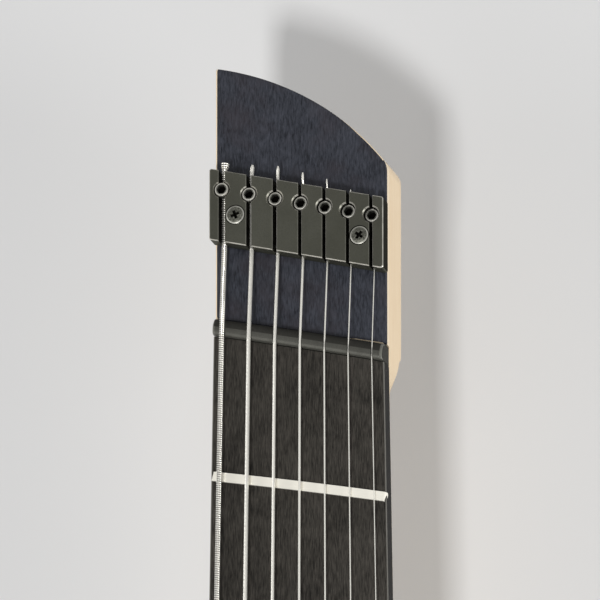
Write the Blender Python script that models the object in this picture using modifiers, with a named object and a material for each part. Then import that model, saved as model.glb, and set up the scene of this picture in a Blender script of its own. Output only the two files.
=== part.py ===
"""Seven-string headless electric guitar with fanned frets.

It lies face up on its flat back.  X runs from the bass side to the treble side, Y from
the tail to the headstock, Z up.  The origin is on the back, under the bridge line.
"""
import math

import bmesh
import bpy
from mathutils import Vector

# Fit between pieces that touch, and between pieces that run in each other
CLEAR = 0.0003

# Strings, bass to treble: string 7 first
GAUGES = (0.00150, 0.00117, 0.00091, 0.00066, 0.00043, 0.00033, 0.00025)
STRING_STUBS = (0.0030, 0.0036, 0.0044, 0.0038, 0.0032, 0.0018, 0.0010)
BASS_SCALE = 0.6858
TREBLE_SCALE = 0.66675
PERPENDICULAR_FRET = 12
FRETS = 24
STRING_GAP = 0.0060
ACTION_NUT = 0.0015
ACTION_BRIDGE = 0.0041
BALL_RADIUS = 0.0018
BALL_LENGTH = 0.0030

# Fretboard and frets
NUT_WIDTH = 0.046
LAST_FRET_WIDTH = 0.0625
BOARD_THICK = 0.0055
BOARD_RADIUS = 0.400
BOARD_TAIL = 0.0145
BOARD_ABOVE_BODY = 0.0095
FRET_WIDTH = 0.0024
FRET_HEIGHT = 0.0011
FRET_SEAT = 0.0006
FRET_BEVEL = 0.0008

# Nut
NUT_THICK = 0.0050
NUT_FALL = 0.0015
NUT_PROUD = 0.0004
SLOT_SIDE = 0.00015

# Headstock
HEAD_WIDTH = 0.0464
HEAD_REACH_BASS = 0.0743
HEAD_REACH_TREBLE = 0.0550
HEAD_TIP_RADIUS = 0.0782
HEAD_BLOCK = 0.0124
CAP_THICK = 0.0025

# Neck
NECK_DEPTH_FIRST = 0.0145
NECK_DEPTH_TWELFTH = 0.0165
HEEL_DEPTH = 0.0194
HEEL_END = 0.157
HEEL_LENGTH = 0.058
HEEL_BLEND = 0.045
HEAD_BLEND = 0.018
SHAFT_SQUARENESS = 2.4
BLOCK_SQUARENESS = 14.0
SHAFT_TUCK = 26.0

# Truss rod in its channel under the fretboard
ROD_WIDTH = 0.006
ROD_HEIGHT = 0.0085
ROD_LENGTH = 0.480

# Headpiece: the string clamp on the headstock
CLAMP_OVERHANG = 0.00035
CLAMP_WIDTH = HEAD_WIDTH + 2 * CLAMP_OVERHANG
CLAMP_LENGTH = 0.0196
CLAMP_HEIGHT = 0.0047
CLAMP_FLOOR = 0.0006
CLAMP_SLANT = 0.253
CLAMP_BEHIND_NUT = 0.0195
CLAMP_CORNER = 0.0011
CLAMP_EDGE = 0.0003
BORE_FROM_FRONT = 0.0143
GRUB_RADIUS = 0.0019
GRUB_LENGTH = 0.0022
GRUB_SOCKET = 0.0011
GRUB_SOCKET_DEPTH = 0.0013
SCREW_FROM_FRONT = 0.0080
SCREW_HEAD_RADIUS = 0.00245
SCREW_HEAD_DEPTH = 0.0017
SCREW_SHANK_RADIUS = 0.00145
SCREW_LENGTH = 0.0165
CROSS_WIDTH = 0.0007
CROSS_SPAN = 0.0025
CROSS_DEPTH = 0.0012

# Body
BODY_DEPTH = 0.044
TOP_THICK = 0.004
BODY_EDGE = 0.006
TOP_EDGE = 0.003
POCKET_DEPTH = 0.016
NOTCH_WIDTH = 0.080
NOTCH_MARGIN = 0.0012
NOTCH_CORNER = 0.008

# Bridge base, one channel for each string
SADDLE_PITCH = 0.0105
CHANNEL_WIDTH = 0.0090
BASE_FLOOR = 0.0030
BASE_HEIGHT = 0.0110
BASE_FRONT = 0.0105
FRONT_WALL = 0.0025
TAIL_WALL = 0.0050
BASE_LENGTH = 0.0575

# Saddles
SADDLE_FRONT = 0.0045
SADDLE_LENGTH = 0.0135
SADDLE_CREST = 0.0022

# Carriages that hold the ball ends, and the tuning screws that pull them
CARRIAGE_START = 0.0220
CARRIAGE_LENGTH = 0.0135
SCREW_AXIS_HEIGHT = 0.0034
TUNER_SCREW_RADIUS = 0.00175
TUNER_SCREW_FRONT = 0.0135
POCKET_FLOOR = 0.0008
POCKET_SIDE = 0.0005
POCKET_BACK = 0.0012
KNOB_RADIUS = 0.0046
KNOB_LENGTH = 0.0110
KNOB_CHAMFER = 0.0006

# Pickups
PICKUP_LENGTH = 0.090
PICKUP_WIDTH = 0.038
PICKUP_HEIGHT = 0.020
PICKUP_ABOVE = 0.0090
PICKUP_CORNER = 0.003
NECK_PICKUP_Y = 0.129
BRIDGE_PICKUP_Y = 0.036

# Control cavity, its cover, and the controls in it
CAVITY_ROOF = 0.008
CAVITY_CORNER = 0.012
COVER_LEDGE = 0.007
COVER_THICK = 0.002
VOLUME_AT = (0.098, 0.020)
TONE_AT = (0.108, -0.020)
POT_RADIUS = 0.0118
POT_DEPTH = 0.010
BUSH_RADIUS = 0.0047
BUSH_ABOVE = 0.0022
SHAFT_RADIUS = 0.0030
SHAFT_IN_POT = 0.006
DIAL_RADIUS = 0.0095
DIAL_HEIGHT = 0.0155
DIAL_RIM = 0.0010
DIAL_LIFT = 0.0006
SELECTOR_AT = (0.080, 0.064)
SELECTOR_SWING = 20.0
SELECTOR_PIVOT_DEPTH = 0.020
SELECTOR_WIDTH = 0.0040
SELECTOR_THICK = 0.0014
SELECTOR_TIP_LIFT = 0.0006
SELECTOR_TIP_RADIUS = 0.0034
SELECTOR_TIP_LENGTH = 0.0105
SWITCH_LENGTH = 0.034
SWITCH_WIDTH = 0.010
SWITCH_HEIGHT = 0.014

# Output jack in the treble side
JACK_Y = -0.004
JACK_HEIGHT = 0.020
JACK_FACE_X = 0.156
JACK_FLANGE_RADIUS = 0.011
JACK_FLANGE = 0.0025
JACK_BARREL_RADIUS = 0.0068
JACK_BARREL = 0.034
JACK_BORE_RADIUS = 0.0034
JACK_BORE = 0.030

# Strap buttons
BUTTON_HEIGHT = 0.020
BUTTON_RADIUS = 0.0070
BUTTON_WAIST = 0.0042
BUTTON_LENGTH = 0.0125
BUTTON_SCREW_RADIUS = 0.0020
BUTTON_SCREW = 0.022
HORN_BUTTON = (-0.116, 0.2985)
TAIL_BUTTON = (-0.064, -0.0815)

# Neck plate with its four bolts
PLATE_WIDTH = 0.046
PLATE_LENGTH = 0.040
PLATE_THICK = 0.0018
PLATE_RECESS = 0.0024
PLATE_START = 0.167
PLATE_CORNER = 0.004
BOLT_INSET = 0.008
BOLT_RADIUS = 0.0025
BOLT_INTO_NECK = 0.0130

# Body outline, from the tail round the bass side to the headstock side and back
OUTLINE = (
    (0.000, -0.080), (-0.070, -0.082), (-0.126, -0.055), (-0.154, 0.002), (-0.149, 0.060),
    (-0.122, 0.112), (-0.109, 0.158), (-0.117, 0.208), (-0.132, 0.256), (-0.127, 0.292),
    (-0.108, 0.299), (-0.088, 0.272), (-0.066, 0.240), (-0.040, 0.225), (0.000, 0.222),
    (0.040, 0.204), (0.060, 0.205), (0.080, 0.228), (0.100, 0.251), (0.119, 0.246),
    (0.124, 0.214), (0.111, 0.172), (0.104, 0.135), (0.121, 0.088), (0.150, 0.044),
    (0.160, -0.008), (0.138, -0.060), (0.078, -0.084),
)
CAVITY = ((0.062, -0.046), (0.128, -0.046), (0.132, 0.040), (0.100, 0.092), (0.062, 0.092))

# Heights that follow from the sizes above
STRINGS = len(GAUGES)
CORE_TOP = BODY_DEPTH - TOP_THICK - CLEAR
POCKET_Z = BODY_DEPTH - POCKET_DEPTH
BOARD_Z = BODY_DEPTH + BOARD_ABOVE_BODY
BOARD_UNDER = BOARD_Z - BOARD_THICK
NECK_Z = BOARD_UNDER - CLEAR
HEAD_FACE_Z = BOARD_UNDER + CAP_THICK
CLAMP_Z = HEAD_FACE_Z + CLEAR
CLAMP_TOP = CLAMP_Z + CLAMP_HEIGHT
BASE_Z = BODY_DEPTH + CLEAR
FLOOR_Z = BASE_Z + BASE_FLOOR
WALL_Z = BASE_Z + BASE_HEIGHT
SCREW_AXIS_Z = FLOOR_Z + SCREW_AXIS_HEIGHT
BALL_FLOOR_Z = SCREW_AXIS_Z + TUNER_SCREW_RADIUS + CLEAR + POCKET_FLOOR
BALL_Z = BALL_FLOOR_Z + CLEAR + BALL_RADIUS
CAVITY_TOP = BODY_DEPTH - CAVITY_ROOF


def look(name, colour, roughness, metallic=0.0):
    """A plain Principled material, made once for each name."""
    found = bpy.data.materials.get(name)
    if found:
        return found
    made = bpy.data.materials.new(name)
    made.use_nodes = True
    shader = made.node_tree.nodes["Principled BSDF"]
    shader.inputs["Base Color"].default_value = (*colour, 1.0)
    shader.inputs["Roughness"].default_value = roughness
    shader.inputs["Metallic"].default_value = metallic
    return made


def natural_wood():
    return look("natural_maple", (0.80, 0.62, 0.38), 0.45)


def stained_wood():
    return look("stained_wood", (0.035, 0.042, 0.055), 0.35)


def black_metal():
    return look("black_metal", (0.06, 0.06, 0.05), 0.45, 0.8)


def black_plastic():
    return look("black_plastic", (0.03, 0.03, 0.03), 0.4)


def steel():
    return look("steel", (0.70, 0.69, 0.66), 0.25, 1.0)


def add(name, mesh, material, collection, at=(0.0, 0.0, 0.0), turn=(0.0, 0.0, 0.0)):
    """An object with this mesh, smooth where it is round, in a collection."""
    mesh.shade_smooth()
    mesh.set_sharp_from_angle(angle=math.radians(35))
    mesh.materials.clear()
    mesh.materials.append(material)
    made = bpy.data.objects.new(name, mesh)
    made.location = at
    made.rotation_euler = turn
    collection.objects.link(made)
    return made


def from_bmesh(name, shape):
    mesh = bpy.data.meshes.new(name)
    shape.to_mesh(mesh)
    shape.free()
    return mesh


def box_mesh(name, low, high):
    """A box between two corners."""
    shape = bmesh.new()
    bmesh.ops.create_cube(shape, size=1.0)
    centre = (Vector(low) + Vector(high)) / 2
    size = Vector(high) - Vector(low)
    for vertex in shape.verts:
        vertex.co = centre + Vector(a * b for a, b in zip(vertex.co, size))
    return from_bmesh(name, shape)


def rod_mesh(name, radius, length, sides=20):
    """A cylinder along Z with its first end at the origin."""
    shape = bmesh.new()
    bmesh.ops.create_cone(
        shape, cap_ends=True, segments=sides, radius1=radius, radius2=radius, depth=length)
    bmesh.ops.translate(shape, verts=shape.verts, vec=(0.0, 0.0, length / 2))
    return from_bmesh(name, shape)


def loft_mesh(name, rings):
    """A closed skin over rings that have the same number of points."""
    shape = bmesh.new()
    made = [[shape.verts.new(point) for point in ring] for ring in rings]
    count = len(made[0])
    for first, second in zip(made, made[1:]):
        for i in range(count):
            j = (i + 1) % count
            shape.faces.new((first[i], first[j], second[j], second[i]))
    shape.faces.new(made[0])
    shape.faces.new(made[-1])
    bmesh.ops.recalc_face_normals(shape, faces=shape.faces)
    return from_bmesh(name, shape)


def curve_to_mesh(name, curve, at=(0.0, 0.0, 0.0)):
    """The closed mesh of a curve, its caps welded, and no curve left behind."""
    carrier = bpy.data.objects.new(name, curve)
    carrier.location = at
    bpy.context.scene.collection.objects.link(carrier)
    graph = bpy.context.evaluated_depsgraph_get()
    mesh = bpy.data.meshes.new_from_object(carrier.evaluated_get(graph))
    shape = bmesh.new()
    shape.from_mesh(mesh)
    bmesh.ops.remove_doubles(shape, verts=shape.verts, dist=1e-6)
    bmesh.ops.transform(shape, matrix=carrier.matrix_world, verts=shape.verts)
    bmesh.ops.recalc_face_normals(shape, faces=shape.faces)
    shape.to_mesh(mesh)
    shape.free()
    bpy.data.objects.remove(carrier)
    bpy.data.curves.remove(curve)
    return mesh


def flat_mesh(name, points, low, high, smooth=False, edge=0.0):
    """A plan outline with thickness, its rims rounded by edge."""
    curve = bpy.data.curves.new(name, "CURVE")
    curve.dimensions = "2D"
    curve.fill_mode = "BOTH"
    curve.extrude = (high - low) / 2 - edge
    if edge:
        curve.bevel_depth = edge
        curve.bevel_resolution = 1
        curve.offset = -edge
    if smooth:
        spline = curve.splines.new("BEZIER")
        spline.bezier_points.add(len(points) - 1)
        for knot, point in zip(spline.bezier_points, points):
            knot.co = (point[0], point[1], 0.0)
            knot.handle_left_type = "AUTO"
            knot.handle_right_type = "AUTO"
        spline.resolution_u = 5
    else:
        spline = curve.splines.new("POLY")
        spline.points.add(len(points) - 1)
        for knot, point in zip(spline.points, points):
            knot.co = (point[0], point[1], 0.0, 1.0)
    spline.use_cyclic_u = True
    bpy.context.view_layer.update()
    return curve_to_mesh(name, curve, (0.0, 0.0, (low + high) / 2))


def tube_mesh(name, points, radius):
    """A round wire along a line of points, with flat ends."""
    curve = bpy.data.curves.new(name, "CURVE")
    curve.dimensions = "3D"
    curve.bevel_depth = radius
    curve.bevel_resolution = 2
    curve.use_fill_caps = True
    spline = curve.splines.new("POLY")
    spline.points.add(len(points) - 1)
    for knot, point in zip(spline.points, points):
        knot.co = (*point, 1.0)
    return curve_to_mesh(name, curve)


def fillet(points, radius, steps=4):
    """The same outline with round corners."""
    result = []
    for i, point in enumerate(points):
        corner = Vector(point)
        back = (Vector(points[i - 1]) - corner).normalized()
        ahead = (Vector(points[(i + 1) % len(points)]) - corner).normalized()
        half = back.angle(ahead) / 2
        start = corner + back * (radius / math.tan(half))
        centre = corner + (back + ahead).normalized() * (radius / math.sin(half))
        swing = math.pi - 2 * half
        arm = start - centre
        side = 1.0 if back.x * ahead.y - back.y * ahead.x < 0 else -1.0
        for step in range(steps + 1):
            angle = side * swing * step / steps
            turned = Vector((
                arm.x * math.cos(angle) - arm.y * math.sin(angle),
                arm.x * math.sin(angle) + arm.y * math.cos(angle)))
            result.append(tuple(centre + turned))
    return result


def turned_part(name, profile, material, collection, at, turn=(0.0, 0.0, 0.0), steps=20):
    """A turned shape: its half profile of radius and height, top to bottom, spun round Z."""
    mesh = bpy.data.meshes.new(name)
    points = [(radius, 0.0, height) for radius, height in profile]
    mesh.from_pydata(points, [(i, i + 1) for i in range(len(points) - 1)], [])
    made = add(name, mesh, material, collection, at, turn)
    spin = made.modifiers.new("spin", "SCREW")
    spin.axis = "Z"
    spin.angle = math.tau
    spin.steps = steps
    spin.render_steps = steps
    spin.use_merge_vertices = True
    spin.merge_threshold = 0.00001
    spin.use_smooth_shade = False
    return made


def cutter(name, mesh, cutters, at=(0.0, 0.0, 0.0), turn=(0.0, 0.0, 0.0)):
    """A tool for Boolean work, kept out of the finished object."""
    made = add(name, mesh, look("cutter", (1.0, 0.2, 0.2), 0.5), cutters, at, turn)
    made.hide_render = True
    made.display_type = "WIRE"
    return made


def combine(target, tools, operation="DIFFERENCE"):
    """Boolean modifiers on the target, one for each tool."""
    for tool in tools:
        step = target.modifiers.new(tool.name, "BOOLEAN")
        step.operation = operation
        step.solver = "EXACT"
        step.object = tool


def string_x_at_nut():
    """Centres of the strings at the nut, with equal gaps between them."""
    places = [0.0]
    for thick, thin in zip(GAUGES, GAUGES[1:]):
        places.append(places[-1] + thick / 2 + STRING_GAP + thin / 2)
    middle = (places[0] + places[-1]) / 2
    return [place - middle for place in places]


def string_x_at_bridge():
    return [(i - (STRINGS - 1) / 2) * SADDLE_PITCH for i in range(STRINGS)]


NUT_X = string_x_at_nut()
BRIDGE_X = string_x_at_bridge()


def outer_string_ends(scale, index):
    """Bridge end and nut end of an outer string."""
    share = 2 ** (-PERPENDICULAR_FRET / 12)
    level = share * (BASS_SCALE + TREBLE_SCALE) / 2
    bridge = level - share * scale
    return Vector((BRIDGE_X[index], bridge)), Vector((NUT_X[index], bridge + scale))


def fan_line(share):
    """Points on the outer strings at a share of their length: 0 bridge, 1 nut."""
    bass_bridge, bass_nut = outer_string_ends(BASS_SCALE, 0)
    treble_bridge, treble_nut = outer_string_ends(TREBLE_SCALE, -1)
    return bass_bridge.lerp(bass_nut, share), treble_bridge.lerp(treble_nut, share)


def fan_slope(share):
    bass, treble = fan_line(share)
    return (treble.y - bass.y) / (treble.x - bass.x)


def fan_y(share, x):
    """Y of a fret, nut or bridge line where it crosses x."""
    bass, _ = fan_line(share)
    return bass.y + fan_slope(share) * (x - bass.x)


def fret_share(number):
    return 2 ** (-number / 12)


NUT_Y = fan_y(1.0, 0.0)
LAST_FRET_Y = fan_y(fret_share(FRETS), 0.0)


def neck_half_width(y):
    """Half the width of neck and fretboard, which taper evenly from the nut."""
    share = (NUT_Y - y) / (NUT_Y - LAST_FRET_Y)
    return (NUT_WIDTH + (LAST_FRET_WIDTH - NUT_WIDTH) * max(share, 0.0)) / 2


def board_corner(share, side, shift=0.0):
    """Where a fan line, moved along Y, meets the edge of the fretboard."""
    x = side * NUT_WIDTH / 2
    for _ in range(4):
        y = fan_y(share, x) + shift
        x = side * neck_half_width(y)
    return Vector((x, y))


def camber(x):
    """How far the fretboard's round top lies below its crown."""
    return BOARD_RADIUS - math.sqrt(BOARD_RADIUS ** 2 - x ** 2)


def fretboard(parts, cutters):
    """Dark fretboard with a round top, and the frets pressed into it."""
    across = 8
    rings = []
    for share, shift in ((1.0, -CLEAR), (fret_share(FRETS), -BOARD_TAIL)):
        bass = board_corner(share, -1, shift)
        treble = board_corner(share, 1, shift)
        ring = []
        for step in range(across + 1):
            spot = bass.lerp(treble, step / across)
            ring.append((spot.x, spot.y, BOARD_Z - camber(spot.x)))
        ring.append((treble.x, treble.y, BOARD_UNDER))
        ring.append((bass.x, bass.y, BOARD_UNDER))
        rings.append(ring)
    board = add("fretboard", loft_mesh("fretboard", rings),
                look("dark_fretboard", (0.035, 0.033, 0.031), 0.6), parts)
    frets = bmesh.new()
    for number in range(1, FRETS + 1):
        mesh = loft_mesh("fret", fret_rings(fret_share(number)))
        frets.from_mesh(mesh)
        bpy.data.meshes.remove(mesh)
    combine(board, [cutter("frets", from_bmesh("frets", frets), cutters)], "UNION")


def fret_rings(share):
    """Cross-sections of one fret, from bass end to treble end."""
    bass = board_corner(share, -1)
    treble = board_corner(share, 1)
    length = (treble - bass).length
    across = 4
    bevel = FRET_BEVEL / length
    stops = [0.0, bevel] + [i / across for i in range(1, across)] + [1.0 - bevel, 1.0]
    rings = []
    for stop in stops:
        at_end = stop in (0.0, 1.0)
        height = FRET_HEIGHT * (0.15 if at_end else 1.0)
        spot = bass.lerp(treble, stop * (1.0 - 2e-4) + 1e-4)
        top = BOARD_Z - camber(spot.x)
        section = ((-0.5, -FRET_SEAT), (-0.33, 0.75 * height), (0.0, height),
                   (0.33, 0.75 * height), (0.5, -FRET_SEAT))
        rings.append([(spot.x, spot.y + w * FRET_WIDTH, top + h) for w, h in section])
    return rings


def string_height_at_nut(index):
    """Height of a string's underside where it leaves the nut."""
    return BOARD_Z - camber(NUT_X[index]) + ACTION_NUT


def string_height_at_bridge(index):
    """Height of a string's underside on its saddle."""
    return BOARD_Z - camber(BRIDGE_X[index]) + ACTION_BRIDGE


def clamp_y(x, from_front=0.0):
    """Y of a line on the headpiece, parallel to its front edge."""
    return NUT_Y + NUT_THICK + 2 * CLEAR + CLAMP_BEHIND_NUT - CLAMP_SLANT * x + from_front


def clamp_string_z(index):
    """Centre height of a string in the headpiece."""
    return CLAMP_Z + CLAMP_FLOOR + CLEAR + GAUGES[index] / 2


def carriage_y(index):
    """Front face of a carriage at rest."""
    return fan_y(0.0, BRIDGE_X[index]) - CARRIAGE_START


def ball_y(index):
    return carriage_y(index) - POCKET_BACK - CLEAR - BALL_RADIUS


def string(index, parts, cutters):
    """One string: cut end, headpiece, nut, saddle and ball end in its carriage."""
    radius = GAUGES[index] / 2
    nut_x = NUT_X[index]
    bridge_x = BRIDGE_X[index]
    far = clamp_y(nut_x, CLAMP_LENGTH)
    low = clamp_string_z(index)
    saddle_z = string_height_at_bridge(index) + radius
    points = [
        (nut_x, far + STRING_STUBS[index], low + 0.2 * STRING_STUBS[index]),
        (nut_x, far, low),
        (nut_x, clamp_y(nut_x), low),
        (nut_x, fan_y(1.0, nut_x), string_height_at_nut(index) + radius),
        (bridge_x, fan_y(0.0, bridge_x), saddle_z),
        (bridge_x, fan_y(0.0, bridge_x) - SADDLE_CREST, saddle_z - 0.02 * SADDLE_CREST),
        (bridge_x, carriage_y(index) + CLEAR, BALL_Z),
        (bridge_x, ball_y(index), BALL_Z),
    ]
    name = f"string_{STRINGS - index}"
    wire = add(name, tube_mesh(name, points, radius), steel(), parts)
    ball = cutter(f"ball_{STRINGS - index}", rod_mesh("ball", BALL_RADIUS, BALL_LENGTH, 12),
                  cutters, (bridge_x - BALL_LENGTH / 2, ball_y(index), BALL_Z),
                  (0.0, math.pi / 2, 0.0))
    combine(wire, [ball], "UNION")


def nut(parts, cutters):
    """String nut between fretboard and headstock, with a slot for each string."""
    half = NUT_WIDTH / 2
    across = 8
    rings = []
    for step in range(across + 1):
        x = half * (2 * step / across - 1)
        front = fan_y(1.0, x)
        top = BOARD_Z - camber(x) + ACTION_NUT + NUT_PROUD
        rings.append([
            (x, front, BOARD_UNDER), (x, front, top), (x, front + NUT_THICK, top - NUT_FALL),
            (x, front + NUT_THICK, BOARD_UNDER)])
    piece = add("nut", loft_mesh("nut", rings), black_plastic(), parts)
    tools = []
    for i, x in enumerate(NUT_X):
        front = fan_y(1.0, x)
        low = clamp_string_z(i) - GAUGES[i] / 2
        high = string_height_at_nut(i)
        fall = (high - low) / (clamp_y(x) - front)
        half_slot = GAUGES[i] / 2 + SLOT_SIDE
        slot = []
        for along in (-NUT_THICK, 2 * NUT_THICK):
            z = high - fall * along - SLOT_SIDE
            slot.append([
                (x - half_slot, front + along, z), (x + half_slot, front + along, z),
                (x + half_slot, front + along, z + BOARD_THICK),
                (x - half_slot, front + along, z + BOARD_THICK)])
        tools.append(cutter(f"nut_slot_{i}", loft_mesh("nut_slot", slot), cutters))
    combine(piece, tools)


def head_outline(start, half):
    """Headstock plan, from a slanted start line to the curved tip."""
    bass = Vector((-half, fan_y(1.0, -half) + HEAD_REACH_BASS))
    treble = Vector((half, fan_y(1.0, half) + HEAD_REACH_TREBLE))
    chord = treble - bass
    rise = math.sqrt(HEAD_TIP_RADIUS ** 2 - (chord.length / 2) ** 2)
    across = Vector((chord.y, -chord.x)).normalized()
    centre = bass.lerp(treble, 0.5) + across * rise
    first = math.atan2(bass.y - centre.y, bass.x - centre.x)
    last = math.atan2(treble.y - centre.y, treble.x - centre.x)
    steps = 12
    points = [(half, fan_y(1.0, half) + start), (-half, fan_y(1.0, -half) + start)]
    for step in range(steps + 1):
        angle = first + (last - first) * step / steps
        points.append((
            centre.x + HEAD_TIP_RADIUS * math.cos(angle),
            centre.y + HEAD_TIP_RADIUS * math.sin(angle)))
    return points


def headstock_cap(parts, cutters):
    """Stained facing on the headstock, behind the nut."""
    outline = head_outline(NUT_THICK + CLEAR, HEAD_WIDTH / 2)
    cap = add("headstock_cap", flat_mesh("headstock_cap", outline, BOARD_UNDER, HEAD_FACE_Z),
              stained_wood(), parts)
    combine(cap, clamp_screw_holes("cap", HEAD_FACE_Z + CLEAR, cutters))


def clamp_screw_places():
    """Centres of the headpiece's two fixing screws, between the outer string pairs."""
    places = []
    for first, second in ((0, 1), (STRINGS - 2, STRINGS - 1)):
        x = (NUT_X[first] + NUT_X[second]) / 2
        places.append((x, clamp_y(x, SCREW_FROM_FRONT)))
    return places


def clamp_screw_holes(name, top, cutters):
    """Clearance holes for the fixing screws, down from a height to below their points."""
    bottom = CLAMP_TOP - SCREW_LENGTH - 2 * CLEAR
    tools = []
    for i, (x, y) in enumerate(clamp_screw_places()):
        mesh = rod_mesh("hole", SCREW_SHANK_RADIUS + CLEAR, top - bottom, 16)
        tools.append(cutter(f"{name}_screw_hole_{i}", mesh, cutters, (x, y, bottom)))
    return tools


def block_depth_and_shape(y):
    """Depth of the neck below its face, and how square and how tucked in its back is."""
    twelfth = fan_y(fret_share(12), 0.0)
    first = fan_y(fret_share(1), 0.0)
    share = (y - twelfth) / (first - twelfth)
    depth = NECK_DEPTH_TWELFTH + (NECK_DEPTH_FIRST - NECK_DEPTH_TWELFTH) * share
    heel = (HEEL_END + HEEL_LENGTH + HEEL_BLEND - y) / HEEL_BLEND
    head = (y - (NUT_Y - HEAD_BLEND)) / HEAD_BLEND
    heel = smooth_step(heel)
    head = smooth_step(head)
    depth += (HEEL_DEPTH - depth) * heel + (HEAD_BLOCK - depth) * head
    block = max(heel, head)
    square = SHAFT_SQUARENESS + (BLOCK_SQUARENESS - SHAFT_SQUARENESS) * block ** 2
    return depth, square, math.radians(SHAFT_TUCK) * (1.0 - block)


def smooth_step(share):
    share = min(max(share, 0.0), 1.0)
    return share * share * (3.0 - 2.0 * share)


def neck_ring(y):
    """Cross-section of the neck: flat face on top, round or square back below."""
    depth, square, tuck = block_depth_and_shape(y)
    half = neck_half_width(y)
    if y > NUT_Y:
        half = HEAD_WIDTH / 2
    widest = math.cos(tuck) ** (2 / square)
    edge = math.sin(tuck) ** (2 / square)
    sides = 14
    ring = [(-half, y, NECK_Z)]
    for step in range(1, sides):
        angle = tuck + (math.pi - 2 * tuck) * step / sides
        across = abs(math.cos(angle)) ** (2 / square) * math.copysign(1.0, -math.cos(angle))
        down = (math.sin(angle) ** (2 / square) - edge) / (1.0 - edge)
        ring.append((half * across / widest, y, NECK_Z - depth * down))
    ring.append((half, y, NECK_Z))
    return ring


def neck(parts, cutters):
    """Maple neck with its heel and the headstock block, in one piece."""
    blend_start = HEEL_END + HEEL_LENGTH
    blend_end = blend_start + HEEL_BLEND
    head_start = NUT_Y - HEAD_BLEND
    head_end = NUT_Y + HEAD_REACH_BASS + HEAD_WIDTH
    stations = [HEEL_END]
    stations += [blend_start + HEEL_BLEND * i / 6 for i in range(7)]
    stations += [blend_end + (head_start - blend_end) * i / 5 for i in range(1, 5)]
    stations += [head_start + HEAD_BLEND * i / 6 for i in range(7)]
    stations += [NUT_Y + CLEAR, head_end]
    piece = add("neck", loft_mesh("neck", [neck_ring(y) for y in stations]),
                natural_wood(), parts)
    tip = head_outline(0.0, HEAD_WIDTH / 2)[2:]
    reach = 2 * HEAD_WIDTH
    beyond = [(HEAD_WIDTH, tip[-1][1] - CLEAR), (HEAD_WIDTH, head_end + reach),
              (-HEAD_WIDTH, head_end + reach), (-HEAD_WIDTH, tip[0][1])]
    tools = [
        cutter("tip_cut", flat_mesh("tip_cut", tip + beyond, 0.0, BODY_DEPTH * 2), cutters),
        cutter("rod_channel", box_mesh("rod_channel", *rod_box(CLEAR)), cutters),
    ]
    tools += clamp_screw_holes("neck", NECK_Z + CLEAR, cutters)
    tools += bolt_holes("neck", cutters)
    combine(piece, tools)


def rod_box(around=0.0):
    """Corners of the truss rod, or of its channel when widened."""
    start = HEEL_END + HEEL_LENGTH / 3
    top = NECK_Z - CLEAR
    low = (-ROD_WIDTH / 2 - around, start - around, top - ROD_HEIGHT - around)
    high = (ROD_WIDTH / 2 + around, start + ROD_LENGTH + around, top + 2 * around)
    return low, high


def truss_rod(parts):
    """Two-way truss rod, hidden under the fretboard."""
    add("truss_rod", box_mesh("truss_rod", *rod_box()), steel(), parts)


def headpiece(parts, cutters):
    """String clamp on the headstock: a slanted block with slots, bores and countersinks."""
    half = CLAMP_WIDTH / 2
    corners = ((-half, clamp_y(-half)), (half, clamp_y(half)),
               (half, clamp_y(half, CLAMP_LENGTH)), (-half, clamp_y(-half, CLAMP_LENGTH)))
    outline = fillet(corners, CLAMP_CORNER)
    block = add("headpiece", flat_mesh("headpiece", outline, CLAMP_Z, CLAMP_TOP, edge=CLAMP_EDGE),
                black_metal(), parts)
    tools = []
    for i, x in enumerate(NUT_X):
        side = GAUGES[i] / 2 + CLEAR
        low = (x - side, clamp_y(x) - CLAMP_LENGTH, CLAMP_Z + CLAMP_FLOOR)
        high = (x + side, clamp_y(x) + 2 * CLAMP_LENGTH, CLAMP_TOP + CLAMP_HEIGHT)
        tools.append(cutter(f"clamp_slot_{i}", box_mesh("clamp_slot", low, high), cutters))
        bore = rod_mesh("clamp_bore", GRUB_RADIUS + CLEAR, 2 * CLAMP_HEIGHT, 20)
        centre = (x, clamp_y(x, BORE_FROM_FRONT), CLAMP_Z + CLAMP_FLOOR)
        tools.append(cutter(f"clamp_bore_{i}", bore, cutters, centre))
    tools += clamp_screw_holes("clamp", CLAMP_TOP + CLEAR, cutters)
    for i, (x, y) in enumerate(clamp_screw_places()):
        cone = -SCREW_HEAD_DEPTH * 2 / 3
        profile = [(0.0, 2 * SCREW_HEAD_DEPTH), (SCREW_HEAD_RADIUS + CLEAR, 2 * SCREW_HEAD_DEPTH),
                   (SCREW_HEAD_RADIUS + CLEAR, 0.0), (SCREW_SHANK_RADIUS + CLEAR, cone),
                   (0.0, cone)]
        sink = turned_part(f"countersink_{i}", profile, black_metal(), cutters,
                           (x, y, CLAMP_TOP - SCREW_HEAD_DEPTH / 3))
        sink.hide_render = True
        sink.display_type = "WIRE"
        tools.append(sink)
    combine(block, tools)


def grub_screw(index, parts, cutters):
    """Hexagon-socket grub screw that presses one string down in the headpiece."""
    x = NUT_X[index]
    bottom = clamp_string_z(index) + GAUGES[index] / 2 + CLEAR
    place = (x, clamp_y(x, BORE_FROM_FRONT), bottom)
    name = f"grub_screw_{STRINGS - index}"
    body = add(name, rod_mesh(name, GRUB_RADIUS, GRUB_LENGTH), black_metal(), parts, place)
    socket = rod_mesh("socket", GRUB_SOCKET, 2 * GRUB_SOCKET_DEPTH, 6)
    base = (x, place[1], bottom + GRUB_LENGTH - GRUB_SOCKET_DEPTH)
    combine(body, [cutter(f"socket_{index}", socket, cutters, base)])


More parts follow.
